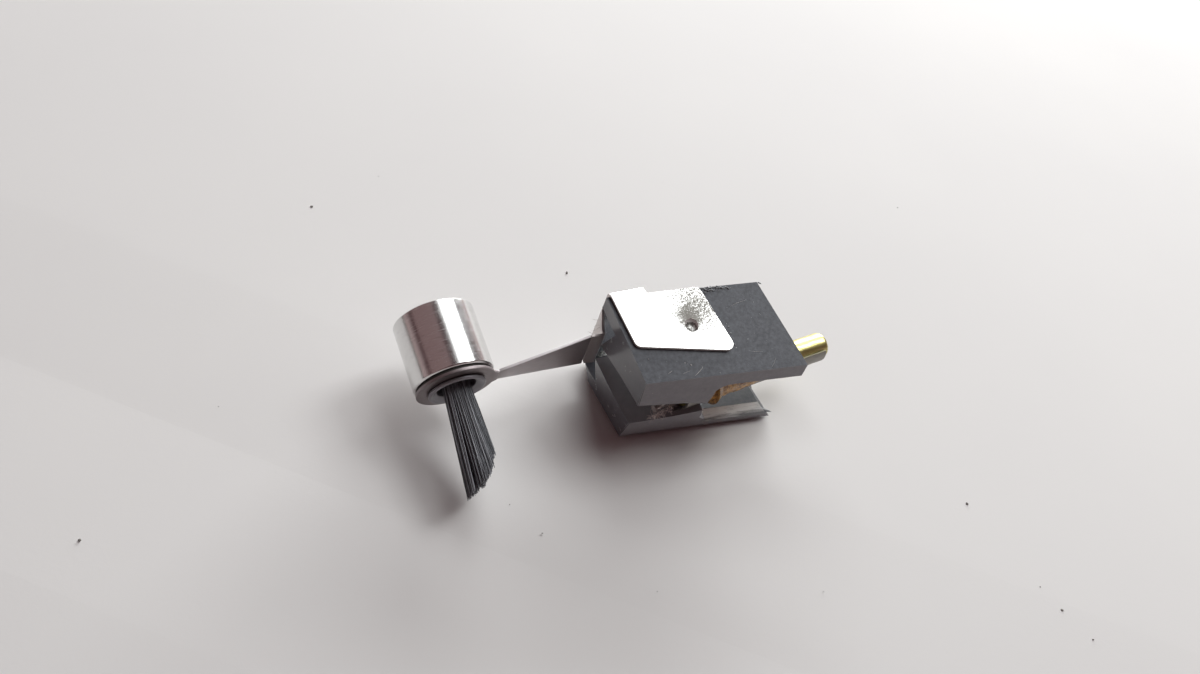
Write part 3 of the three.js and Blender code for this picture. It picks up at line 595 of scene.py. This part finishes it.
scratch_paths = [
    [on_side(2.49, 0.87, 0.4), on_side(2.3, 0.76, 1), on_side(2.08, 0.65, 0.3)],
    [on_side(5.33, 0.99, 0.3), on_side(5.2, 0.8, 1), on_side(4.93, 0.58, 1.1), on_side(4.59, 0.35, 1),
     on_side(4.36, 0.2, 0.3)],
    [on_side(3.4, 0.5, 0.3), on_side(3.75, 0.62, 0.8), on_side(4.1, 0.7, 0.3)],
    [on_side(9.6, 6.2, 0.3), on_side(10.4, 6.5, 0.7), on_side(11.3, 6.7, 0.3)],
    [on_side(9.9, 1.9, 0.2), on_side(10.6, 1.75, 0.7), on_side(11.2, 1.7, 0.2)],
]
strands("scratches", scratch_paths, scratch_thick, play_matrix, "grip", dust)
nick_path = [
    on_side(12.21, 0.95, 0.5), on_side(12.02, 0.74, 1), on_side(11.86, 0.52, 1), on_side(11.55, 0.19, 0.4),
]
strands("nick", [nick_path], nick_thick, play_matrix, "grip", torn)

# Clip
# One pressing of thin nickel-plated sheet, folded over the grip and down its front. The plate is bright,
# and dull and finely pitted behind the dimple that holds the clip in its pocket. That patch is painted
# darker as painted reflection of the sheet dipping there, and painted shade darkens the dish round the
# dimple.
pit_size = 0.095
patch_middle = (6.35, 6.3, 5.5)
patch_turn = math.radians(24)
patch_reach = (3.3, 3.5, 1.7)
dish_shade_middle = (5.2, 5.4, 5.35)
dish_shade_reach = (1.3, 1.5, 1.3)
flap_from, flap_to = -0.75, -1.15
bend_from, bend_to = 8.55, 8.72
clip_edge_wear = 0.09 * mm
sheared_across = 0.8
sheared_below = 0.4
sheared_beyond = 3.9
shear_mark_size = 0.1

nickel, nickel_shader, nickel_place = new_finish("nickel_plate", "#dddcda", 0.27, 1.0)
nickel_play = in_millimetres(nickel, nickel_place, *play_axes)
# The patch behind the dimple is pitted, and painted darker as painted reflection of the sheet dipping there
patch_place = add(
    nickel, "Mapping",
    {
        "vector_type": "TEXTURE", "Location": patch_middle, "Rotation": (0, 0, patch_turn),
        "Scale": patch_reach,
    },
    {"Vector": nickel_play},
)
patch_fade = add(
    nickel, "TexGradient", {"gradient_type": "SPHERICAL"}, {"Vector": patch_place.outputs["Vector"]},
)
patch_depth = add(nickel, "MapRange", {"From Max": 0.8}, {"Value": patch_fade.outputs["Fac"]})
patch_gate = add(nickel, "MapRange", {"From Max": 0.12}, {"Value": patch_fade.outputs["Fac"]})
pits = add(
    nickel, "TexNoise", {"Scale": 1 / pit_size, "Detail": 3, "Roughness": 0.6}, {"Vector": nickel_play},
)
pit_share = add(
    nickel, "MapRange", {"From Min": 0.36, "From Max": 0.64, "To Min": -0.9, "To Max": 0.85},
    {"Value": pits.outputs["Fac"]},
)
pits_and_painted_dimming_sum = add(
    nickel, "Math", {"operation": "ADD", "use_clamp": True},
    {0: patch_depth.outputs["Result"], 1: pit_share.outputs["Result"]},
)
pits_and_painted_dimming = add(
    nickel, "Math", {"operation": "MULTIPLY"},
    {0: pits_and_painted_dimming_sum.outputs["Value"], 1: patch_gate.outputs["Result"]},
)
# Painted shade darkens the dish round the dimple
dish_shade_place = add(
    nickel, "Mapping", {"vector_type": "TEXTURE", "Location": dish_shade_middle, "Scale": dish_shade_reach},
    {"Vector": nickel_play},
)
painted_dish_shade = add(
    nickel, "TexGradient", {"gradient_type": "SPHERICAL"}, {"Vector": dish_shade_place.outputs["Vector"]},
)
dull_and_painted_shade = add(
    nickel, "Math", {"operation": "ADD", "use_clamp": True},
    {0: pits_and_painted_dimming.outputs["Value"], 1: painted_dish_shade.outputs["Fac"]},
)
plate_axes = add(nickel, "SeparateXYZ", links={"Vector": nickel_play})
flap_share = add(
    nickel, "MapRange", {"From Min": flap_from, "From Max": flap_to}, {"Value": plate_axes.outputs["X"]},
)
bend_share = add(
    nickel, "MapRange", {"From Min": bend_from, "From Max": bend_to}, {"Value": plate_axes.outputs["Y"]},
)
handled_share = add(
    nickel, "Math", {"operation": "MAXIMUM"},
    {0: flap_share.outputs["Result"], 1: bend_share.outputs["Result"]},
)
bright_tone = add(
    nickel, "MixRGB", {"Color1": linear("#dddcda"), "Color2": linear("#cdc7c5")},
    {"Fac": handled_share.outputs["Value"]},
)
plate_tone = add(
    nickel, "MixRGB", {"Color2": linear("#625f5b")},
    {"Fac": dull_and_painted_shade.outputs["Value"], "Color1": bright_tone.outputs["Color"]},
)
worn_share = add(
    nickel, "Math", {"operation": "MAXIMUM"},
    {0: dull_and_painted_shade.outputs["Value"], 1: handled_share.outputs["Value"]},
)
plate_rough = add(
    nickel, "MapRange", {"To Min": 0.27, "To Max": 0.45}, {"Value": worn_share.outputs["Value"]},
)
plate_bump = add(
    nickel, "Bump", {"Distance": 0.03 * mm},
    {"Height": pits.outputs["Fac"], "Strength": dull_and_painted_shade.outputs["Value"]},
)
feed(
    nickel, nickel_shader, Base_Color=plate_tone.outputs["Color"], Roughness=plate_rough.outputs["Result"],
    Normal=plate_bump.outputs["Normal"],
)

# The sheared edge is bare; its pale colour is painted light, so that faces turned from the lamps don't show
# dark
sheared, sheared_shader, sheared_place = new_finish("sheared_edge_painted_pale", "#c4c0bd", 0.5, 0.2)
shear_marks = add(
    sheared, "TexNoise", {"Scale": per_mm(shear_mark_size), "Detail": 3}, {"Vector": sheared_place},
)
work_in(sheared, sheared_shader, shear_marks.outputs["Fac"], "#bfbbb8", "#e2dfdc")
clip_shape = finished_copy("brush_clip", clip_edge_wear, segments=3)
for face in clip_shape.faces:
    facing, middle = in_play(face)
    if abs(facing.z) < sheared_across and facing.y < sheared_below and abs(middle.z) > sheared_beyond:
        face.material_index = 1
clip = show_piece(clip_shape, "clip_sheet", "grip", [nickel, sheared])
even_shading(clip)
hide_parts("brush_clip")

# Fibres of lint are caught on the edge of the flap
lint_thick = 0.016
lint_wander = 0.55
lint_end_share = 0.4
long_lint, long_lint_seed = 0.9, 40
short_lint, short_lint_seed = 0.5, 60
flap_lint_places = [
    (-1.45, 7.58, 0.52), (-1.45, 7.3, 2.3), (-1.42, 6.46, 2.45), (-1.45, 7.52, 2.9), (-1.45, 7.58, 1.3),
    (-1.45, 6.5, 1.64), (-1.45, 7.73, 1.86), (-1.4, 7.0, 2.9),
]


def lint_path(start, reach, seed, points=6):
    """A limp fibre that wanders from a start by about a reach"""
    wander = random.Random(seed)
    heading = Vector([wander.uniform(-1, 1) for axis in range(3)]).normalized()
    at = Vector(start)
    path = []
    for step in range(points):
        path.append((*at, 1 if 0 < step < points - 1 else lint_end_share))
        swerve = Vector([wander.uniform(-1, 1) for axis in range(3)])
        heading = (heading + lint_wander * swerve).normalized()
        at = at + heading * reach / points
    return path


lint, lint_shader, _ = new_finish("lint", "#c9c5c4", 0.9, Sheen_Weight=0.3)
lint_pick = add(lint, "NewGeometry").outputs["Random Per Island"]
work_in(lint, lint_shader, lint_pick, "#a89c9b", "#dcd8d6")
strands(
    "flap_lint",
    [lint_path(start, long_lint, long_lint_seed + i) for i, start in enumerate(flap_lint_places)]
    + [lint_path(start, short_lint, short_lint_seed + i) for i, start in enumerate(flap_lint_places)],
    lint_thick, play_matrix, "grip", lint,
)

# Arm
# A tapered leaf of spring steel, dull with handling, that ends in a ring under the weight. Its colour is
# painted darker towards its root and round the ring, as painted shade where the flap and the weight shade it.
arm_edge_wear = 0.03 * mm
arm_streak_size = (2.5, 0.12, 0.12)
ring_shade_from, ring_shade_to = -9.6, -11
root_shade_from, root_shade_to = -5.5, -1.2

arm_steel, arm_shader, arm_place = new_finish("dull_spring_steel", "#b9b3b4", 0.45, 0.85)
arm_streak_place = add(
    arm_steel, "Mapping", {"Scale": [per_mm(size) for size in arm_streak_size]}, {"Vector": arm_place},
)
arm_streaks = add(
    arm_steel, "TexNoise", {"Scale": 1, "Detail": 4}, {"Vector": arm_streak_place.outputs["Vector"]},
)
arm_tone = add(
    arm_steel, "MixRGB", {"Color1": linear("#b8b2b4"), "Color2": linear("#d6d1d2")},
    {"Fac": arm_streaks.outputs["Fac"]},
)
arm_play = in_millimetres(arm_steel, arm_place, *play_axes)
arm_along = add(arm_steel, "SeparateXYZ", links={"Vector": arm_play}).outputs["X"]
# Painted shade: darker towards the ring under the weight and towards the root at the flap
ring_shade = add(arm_steel, "MapRange", {"From Min": ring_shade_from, "From Max": ring_shade_to}, {"Value": arm_along})
root_shade = add(
    arm_steel, "MapRange", {"From Min": root_shade_from, "From Max": root_shade_to, "To Max": 0.85}, {"Value": arm_along},
)
painted_shade_share = add(
    arm_steel, "Math", {"operation": "MAXIMUM"},
    {0: ring_shade.outputs["Result"], 1: root_shade.outputs["Result"]},
)
painted_shade_tone = add(
    arm_steel, "MixRGB", {"Color2": linear("#857c7d")},
    {"Fac": painted_shade_share.outputs["Value"], "Color1": arm_tone.outputs["Color"]},
)
arm_rough = add(
    arm_steel, "MapRange", {"To Min": 0.36, "To Max": 0.54}, {"Value": arm_streaks.outputs["Fac"]},
)
arm_bump = add(
    arm_steel, "Bump", {"Strength": 0.2, "Distance": 0.01 * mm}, {"Height": arm_streaks.outputs["Fac"]},
)
feed(
    arm_steel, arm_shader, Base_Color=painted_shade_tone.outputs["Color"], Roughness=arm_rough.outputs["Result"],
    Normal=arm_bump.outputs["Normal"],
)
arm = show_piece(finished_copy("brush_arm", arm_edge_wear), "arm_leaf", "brush", [arm_steel])
even_shading(arm)
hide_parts("brush_arm")

# Weight
# A cap turned from aluminium bar, held to the ring by the eyelet. The tool has left fine rings round it,
# and handling a few dark marks.
head_place_in_play = (-14.2, 4.77, 0)
head_lean = 0.149
head_matrix = (
    play_matrix @ Matrix.Translation(head_place_in_play)
    @ Matrix.Rotation(head_lean, 4, "X") @ Matrix.Rotation(head_lean, 4, "Z")
)
head_place, head_turn, _ = head_matrix.decompose()
head_axes = (head_place, head_turn.to_euler())
ring_pitch = 0.05
turning_stretch = (0.35, 1 / ring_pitch, 0.35)
mark_stretch = (0.9, 3.5, 0.9)
weight_edge_wear = 0.05 * mm

aluminium, aluminium_shader, aluminium_place = new_finish("turned_aluminium", "#dfdfde", 0.2, 1.0)
aluminium_head = in_millimetres(aluminium, aluminium_place, *head_axes)
turning_place = add(aluminium, "Mapping", {"Scale": turning_stretch}, {"Vector": aluminium_head})
turning = add(
    aluminium, "TexNoise", {"Scale": 1, "Detail": 4, "Roughness": 0.7},
    {"Vector": turning_place.outputs["Vector"]},
)
mark_place = add(aluminium, "Mapping", {"Scale": mark_stretch}, {"Vector": aluminium_head})
marks = add(
    aluminium, "TexNoise", {"Scale": 1, "Detail": 8, "Roughness": 0.75},
    {"Vector": mark_place.outputs["Vector"]},
)
mark_share = add(aluminium, "MapRange", {"From Min": 0.56, "From Max": 0.72}, {"Value": marks.outputs["Fac"]})
work_in(
    aluminium, aluminium_shader, mark_share.outputs["Result"], "#dfdfde", "#b3b0b1",
    turning.outputs["Fac"], strength=0.22, depth=0.012,
)
bar_rough = add(
    aluminium, "MapRange", {"From Min": 0.3, "From Max": 0.7, "To Min": 0.12, "To Max": 0.3},
    {"Value": turning.outputs["Fac"]},
)
feed(aluminium, aluminium_shader, Roughness=bar_rough.outputs["Result"])
weight = show_piece(
    finished_copy("brush_weight", weight_edge_wear), "weight_cap", "brush", [aluminium],
)
even_shading(weight)
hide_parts("brush_weight")

# Eyelet and bush
# An eyelet of dull nickelled brass, rolled over at its lip, draws the ring up to the weight. It passes
# through a stepped bush of black vulcanised fibre, matt and flecked.
eyelet_edge_wear = 0.03 * mm
eyelet_ring_stretch = (0.8, 14, 0.8)
fibre_fleck_size = 0.2

eyelet_plate, eyelet_shader, eyelet_place = new_finish("tarnished_nickel", "#a8a6aa", 0.48, 0.5)
eyelet_head = in_millimetres(eyelet_plate, eyelet_place, *head_axes)
eyelet_ring_place = add(eyelet_plate, "Mapping", {"Scale": eyelet_ring_stretch}, {"Vector": eyelet_head})
eyelet_rings = add(
    eyelet_plate, "TexNoise", {"Scale": 1, "Detail": 4}, {"Vector": eyelet_ring_place.outputs["Vector"]},
).outputs["Fac"]
work_in(
    eyelet_plate, eyelet_shader, eyelet_rings, "#78767b", "#9b989c", eyelet_rings, strength=0.25, depth=0.02,
)
eyelet = show_piece(
    finished_copy("brush_eyelet", eyelet_edge_wear), "rolled_eyelet", "brush", [eyelet_plate],
)
even_shading(eyelet)
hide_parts("brush_eyelet")


def dress(finish, *nodes):
    """Gives a finish to solids that are shown as they are"""
    for node in nodes:
        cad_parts[node].data.materials.clear()
        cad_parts[node].data.materials.append(finish)


fibre_board, fibre_shader, fibre_place = new_finish("vulcanised_fibre", "#2c2826", 0.75)
fibre_flecks = add(
    fibre_board, "TexNoise", {"Scale": per_mm(fibre_fleck_size), "Detail": 6, "Roughness": 0.7},
    {"Vector": fibre_place},
).outputs["Fac"]
work_in(
    fibre_board, fibre_shader, fibre_flecks, "#211e1d", "#453e3a", fibre_flecks, strength=0.4, depth=0.02,
)
dress(fibre_board, "brush_bush")

# Tuft
# Some six hundred black nylon bristles potted in the eyelet. They fan out towards a slanting trimmed
# end, and each is a little paler or darker than the next; the few palest are painted sheen along the tuft.
bristle_count = 620
bristle_radius = 0.04
root_radius = 1.06
root_height = 0.35
spread_share = 0.53
lean_share = -0.045
tuft_shift = 0.08
trim_middle = 8.6
front_trim = 0.5
rear_trim = 1.6
trim_rounds = 6
uneven_trim = (-0.3, 0.14)
clump_count = 34
clump_pull = 0.36
stray_chance = 0.04
stray_slack = 0.22
kept_slack = 0.05
bristle_steps = 4
tip_share = 0.7
nylon_mark_size = 0.6
potting_lump_size = 0.4
golden = math.pi * (3 - math.sqrt(5))

nylon, nylon_shader, nylon_place = new_finish("black_nylon", "#3f4044", 0.42, IOR=1.53)
nylon_pick = add(nylon, "NewGeometry").outputs["Random Per Island"]
# The few palest hairs are painted sheen
tone_and_painted_sheen = add(nylon, "Math", {"operation": "POWER", 1: 3}, {0: nylon_pick})
work_in(nylon, nylon_shader, tone_and_painted_sheen.outputs["Value"], "#595b60", "#a2a3a9")
nylon_marks = add(nylon, "TexNoise", {"Scale": per_mm(nylon_mark_size), "Detail": 3}, {"Vector": nylon_place})
nylon_rough = add(nylon, "MapRange", {"To Min": 0.34, "To Max": 0.55}, {"Value": nylon_marks.outputs["Fac"]})
feed(nylon, nylon_shader, Roughness=nylon_rough.outputs["Result"])

dice = random.Random(3)
clumps = [(dice.uniform(-1, 1) * root_radius, dice.uniform(-1, 1) * root_radius) for i in range(clump_count)]
bristle_paths = []
for i in range(bristle_count):
    out = root_radius * math.sqrt((i + 0.5) / bristle_count)
    root_x, root_z = out * math.cos(i * golden), out * math.sin(i * golden)
    length = trim_middle
    for settle in range(trim_rounds):
        spread = 1 + spread_share * length / trim_middle
        across = tuft_shift + root_x * spread + lean_share * length
        length = trim_middle - across * (rear_trim if across > 0 else front_trim)
    length += dice.uniform(*uneven_trim)
    slack = stray_slack if dice.random() < stray_chance else kept_slack
    clump_x, clump_z = min(clumps, key=lambda middle: (middle[0] - root_x) ** 2 + (middle[1] - root_z) ** 2)
    pull_x, pull_z = clump_pull * (clump_x - root_x), clump_pull * (clump_z - root_z)
    spread = 1 + spread_share * length / trim_middle
    tip_x = tuft_shift + root_x * spread + lean_share * length + pull_x + dice.uniform(-slack, slack)
    tip_z = root_z * spread + pull_z + dice.uniform(-slack, slack)
    bow_x, bow_z = dice.uniform(-1, 1) * slack, dice.uniform(-1, 1) * slack
    path = []
    for step in range(bristle_steps + 1):
        t = step / bristle_steps
        bow = 4 * t * (1 - t)
        path.append((
            root_x + (tip_x - root_x) * t + bow_x * bow,
            root_height - (root_height + length) * t,
            root_z + (tip_z - root_z) * t + bow_z * bow,
            1 if step < bristle_steps else tip_share,
        ))
    bristle_paths.append(path)
tuft = strands("bristle_tuft", bristle_paths, bristle_radius, head_matrix, "brush", nylon)
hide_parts("bristles_a", "bristles_b", "bristles_c", "bristles_d")

# The potting above the bristles is black epoxy, glossy and lumpy
potting, potting_shader, potting_place = new_finish("black_epoxy", "#26262a", 0.3, Coat_Weight=0.2)
potting_lumps = add(
    potting, "TexNoise", {"Scale": per_mm(potting_lump_size), "Detail": 4}, {"Vector": potting_place},
).outputs["Fac"]
work_in(
    potting, potting_shader, potting_lumps, "#34353a", "#505157", potting_lumps, strength=0.5, depth=0.08,
)
dress(potting, "tuft_plug")

# Tube
# Drawn brass tube, a little tarnished, with its free end rolled in. Amber cement has run along it in
# the channel, and a strip of grey plated steel lies under it.
tube_lean = math.atan(0.207)
tube_lift = 0.2
tube_matrix = play_matrix @ Matrix.Translation((0, tube_lift, 0)) @ Matrix.Rotation(tube_lean, 4, "Z")
draw_stretch = (0.4, 6, 6)
tube_slack = math.radians(0.05)

brass, brass_shader, brass_place = new_finish("drawn_brass", "#cecaab", 0.34, 1.0)
brass_play = in_millimetres(brass, brass_place, *play_axes)
draw_place = add(
    brass, "Mapping", {"Rotation": (0, 0, -tube_lean), "Scale": draw_stretch}, {"Vector": brass_play},
)
draw_marks = add(
    brass, "TexNoise", {"Scale": 1, "Detail": 5, "Roughness": 0.65}, {"Vector": draw_place.outputs["Vector"]},
)
draw_share = add(brass, "MapRange", {"From Min": 0.4, "From Max": 0.66}, {"Value": draw_marks.outputs["Fac"]})
work_in(
    brass, brass_shader, draw_share.outputs["Result"], "#d2c98e", "#b0a464",
    draw_marks.outputs["Fac"], strength=0.25, depth=0.015,
)
brass_rough = add(
    brass, "MapRange", {"To Min": 0.28, "To Max": 0.46}, {"Value": draw_share.outputs["Result"]},
)
feed(brass, brass_shader, Roughness=brass_rough.outputs["Result"])
tube = show_piece(finished_copy("pivot_tube", 0, slack=tube_slack), "brass_tube", "grip", [brass])
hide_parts("pivot_tube")
dress(brass, "wire_anchor")

# The cement is brittle amber resin, cloudy in itself and glossy where it ran
run_start, run_end = 7.2, 12.8
run_length = run_end - run_start
run_radius = 1.47
run_sides = 60
run_cuts = 48
run_from, run_to = math.radians(-24), math.radians(74)
run_narrow_from, run_narrow_over, run_narrow_power = 10.5, 2.1, 1.5
run_wide_from, run_wide_over = 7.6, 0.7
run_thick = 0.07
run_smooth_below = math.radians(70)
run_taper_low, run_taper_high = 0.5, 0.4
run_ragged, run_ragged_fine = 0.22, 0.12
ragged_pitch, ragged_pitch_fine = 1.6, 5
run_swell, run_swell_fine = 0.05, 0.03
swell_pitch, swell_pitch_fine = 1.5, 5
cement_cloud_size = 0.35

cement, cement_shader, cement_place = new_finish(
    "amber_cement", "#a87436", 0.28, Coat_Weight=0.4, Coat_Roughness=0.2,
)
cement_clouds = add(
    cement, "TexNoise", {"Scale": per_mm(cement_cloud_size), "Detail": 5, "Roughness": 0.7},
    {"Vector": cement_place},
).outputs["Fac"]
cement_range = add(cement, "MapRange", {"From Min": 0.38, "From Max": 0.62}, {"Value": cement_clouds})
work_in(
    cement, cement_shader, cement_range.outputs["Result"], "#6f4722", "#d0a056",
    cement_clouds, strength=0.6, depth=0.06,
)
dress(cement, "glue_collar")
run_shape = bmesh.new()
bmesh.ops.create_cone(
    run_shape, cap_ends=False, segments=run_sides, radius1=run_radius, radius2=run_radius, depth=run_length,
    matrix=Matrix.Translation(((run_start + run_end) / 2, 0, 0)) @ Matrix.Rotation(math.pi / 2, 4, "Y"),
)
for cut in range(1, run_cuts):
    bmesh.ops.bisect_plane(
        run_shape, geom=run_shape.verts[:] + run_shape.edges[:] + run_shape.faces[:],
        plane_co=(run_start + run_length * cut / run_cuts, 0, 0), plane_no=(1, 0, 0),
    )
stray_faces = []
for face in run_shape.faces:
    at = face.calc_center_median()
    around = math.atan2(at.z, -at.y)
    ragged = run_ragged * noise.noise(Vector((at.x * ragged_pitch, 0, 2)))
    ragged += run_ragged_fine * noise.noise(Vector((at.x * ragged_pitch_fine, 1, 4)))
    narrowed = max(0, (at.x - run_narrow_from) / run_narrow_over) ** run_narrow_power
    taper = narrowed + max(0, (run_wide_from - at.x) / run_wide_over)
    too_low = around < run_from + ragged + run_taper_low * taper
    if too_low or around > run_to + ragged - run_taper_high * taper:
        stray_faces.append(face)
bmesh.ops.delete(run_shape, geom=stray_faces, context="FACES")
for point in run_shape.verts:
    swell = 1 + run_swell * noise.noise(point.co * swell_pitch)
    swell += run_swell_fine * noise.noise(point.co * swell_pitch_fine)
    point.co.y *= swell
    point.co.z *= swell
bmesh.ops.recalc_face_normals(run_shape, faces=run_shape.faces)
bmesh.ops.solidify(run_shape, geom=run_shape.faces[:], thickness=run_thick)
bmesh.ops.transform(run_shape, matrix=tube_matrix, verts=run_shape.verts)
show_piece(run_shape, "cement_run", "grip", [cement], smooth_to=run_smooth_below)

# The strip is zinc plated steel, with dull streaks along it
grey_stretch = (0.5, 5, 5)
grey_strip, grey_shader, grey_place = new_finish("zinc_plated_strip", "#9f9c96", 0.45, 0.6)
grey_play = in_millimetres(grey_strip, grey_place, *play_axes)
grey_streak_place = add(
    grey_strip, "Mapping", {"Rotation": (0, 0, -tube_lean), "Scale": grey_stretch}, {"Vector": grey_play},
)
grey_streaks = add(
    grey_strip, "TexNoise", {"Scale": 1, "Detail": 4}, {"Vector": grey_streak_place.outputs["Vector"]},
).outputs["Fac"]
work_in(
    grey_strip, grey_shader, grey_streaks, "#74716c", "#a5a29b", grey_streaks, strength=0.3, depth=0.02,
)
dress(grey_strip, "tube_trough")

# Damper and plug
# The ring and the core that carry the cantilever, and the plug in the free end of the tube, are moulded
# of butyl rubber: matt, nearly black, with bloom in soft patches.
bloom_size = 0.3
rubber, rubber_shader, rubber_place = new_finish("butyl_rubber", "#222123", 0.78)
bloom = add(
    rubber, "TexNoise", {"Scale": per_mm(bloom_size), "Detail": 5}, {"Vector": rubber_place},
).outputs["Fac"]
work_in(rubber, rubber_shader, bloom, "#1b1a1c", "#3a383a", bloom, strength=0.3, depth=0.02)
dress(rubber, "damper_ring", "damper_core", "tube_plug")

# Washer, sleeve and wire
# A washer that holds the rubber ring, a sleeve on the cantilever and the wire that runs back from it.
# They are turned or drawn from steel, and bright with fine marks.
steel_mark_size = 0.05
steel, steel_shader, steel_place = new_finish("bright_steel", "#a5a3a0", 0.3, 1.0)
steel_marks = add(
    steel, "TexNoise", {"Scale": per_mm(steel_mark_size), "Detail": 3}, {"Vector": steel_place},
).outputs["Fac"]
work_in(steel, steel_shader, steel_marks, "#8d8b88", "#bcbab7")
steel_rough = add(steel, "MapRange", {"To Min": 0.22, "To Max": 0.42}, {"Value": steel_marks})
feed(steel, steel_shader, Roughness=steel_rough.outputs["Result"])
dress(steel, "damper_washer", "armature_sleeve", "tie_wire")

# Magnet
# A rod of sintered magnet, ground round and held in the sleeve. It is dark grey with a fine open grain.
# It lies inside the tube and doesn't show.
magnet_grain_size = 0.06
magnet, magnet_shader, magnet_place = new_finish("sintered_magnet", "#6b6968", 0.45, 1.0)
magnet_grain = add(
    magnet, "TexVoronoi", {"Scale": per_mm(magnet_grain_size)}, {"Vector": magnet_place},
).outputs["Distance"]
work_in(magnet, magnet_shader, magnet_grain, "#585655", "#7f7d7b", magnet_grain, strength=0.3, depth=0.01)
dress(magnet, "magnet_armature")

# Cantilever, collar and tip
# A fine aluminium tube with a crimped collar that holds the diamond, all furred with brown-pink dust
# picked up from records.
fur_size = 0.18
furred, furred_shader, furred_place = new_finish("dusty_aluminium", "#a39b99", 0.5, 0.6)
fur = add(
    furred, "TexNoise", {"Scale": per_mm(fur_size), "Detail": 5, "Roughness": 0.7}, {"Vector": furred_place},
)
fur_share = add(furred, "MapRange", {"From Min": 0.38, "From Max": 0.62}, {"Value": fur.outputs["Fac"]})
work_in(
    furred, furred_shader, fur_share.outputs["Result"], "#b9b4b1", "#867774",
    fur.outputs["Fac"], strength=0.5, depth=0.03,
)
bare = add(furred, "MapRange", {"To Min": 0.9, "To Max": 0.1}, {"Value": fur_share.outputs["Result"]})
feed(furred, furred_shader, Metallic=bare.outputs["Result"])
dress(furred, "cantilever", "tip_bushing")

# The diamond is ground and clear, and bends light more than anything near it
diamond_haze_size = 0.08
diamond, diamond_shader, diamond_place = new_finish(
    "ground_diamond", "#eceae4", 0.08, IOR=2.42, Transmission_Weight=0.6,
)
diamond_haze = add(
    diamond, "TexNoise", {"Scale": per_mm(diamond_haze_size), "Detail": 2}, {"Vector": diamond_place},
)
diamond_rough = add(
    diamond, "MapRange", {"To Min": 0.03, "To Max": 0.2}, {"Value": diamond_haze.outputs["Fac"]},
)
feed(diamond, diamond_shader, Roughness=diamond_rough.outputs["Result"])
dress(diamond, "diamond_tip")

# Fluff from record grooves hangs on the tip in matted fibres and lumps, clear of the grip below
fluff_centres = [
    (1.75, -0.75, -0.1), (2.2, -0.6, -0.1), (2.37, -0.45, -0.25), (2.8, -0.4, -0.1), (3.2, -0.2, -0.2),
    (3.6, -0.05, -0.1), (2.2, -0.35, -0.5), (2.9, -0.05, -0.45), (3.5, 0.2, -0.3),
]
fluff_count = 96
fluff_scatter = (0.16, 0.12, 0.16)
fluff_reach = (0.35, 0.9)
fluff_clear = -0.62
fluff_seed = 200
lump_every = 3
lump_radii = (0.03, 0.09)
lump_flatness = 0.8
fluff, fluff_shader, _ = new_finish("record_dust", "#93827f", 0.95, Sheen_Weight=0.4)
fluff_pick = add(fluff, "NewGeometry").outputs["Random Per Island"]
work_in(fluff, fluff_shader, fluff_pick, "#9a8986", "#ddcfcb")
dice = random.Random(9)
fluff_paths = []
fluff_lumps = []
for i in range(fluff_count):
    centre = dice.choice(fluff_centres)
    start = [middle + dice.gauss(0, scatter) for middle, scatter in zip(centre, fluff_scatter)]
    fibre = lint_path(start, dice.uniform(*fluff_reach), fluff_seed + i)
    fluff_paths.append([(x, y, max(z, fluff_clear), share) for x, y, z, share in fibre])
    if i % lump_every == 0:
        fluff_lumps.append((*start, dice.uniform(*lump_radii)))
strands("record_fluff", fluff_paths, lint_thick, play_matrix, "stylus_arm", fluff)
show_piece(
    crumbs(fluff_lumps, play_matrix, lump_flatness, seed=8), "fluff_crumbs", "stylus_arm", [fluff],
    smooth_to=loose_angle,
)
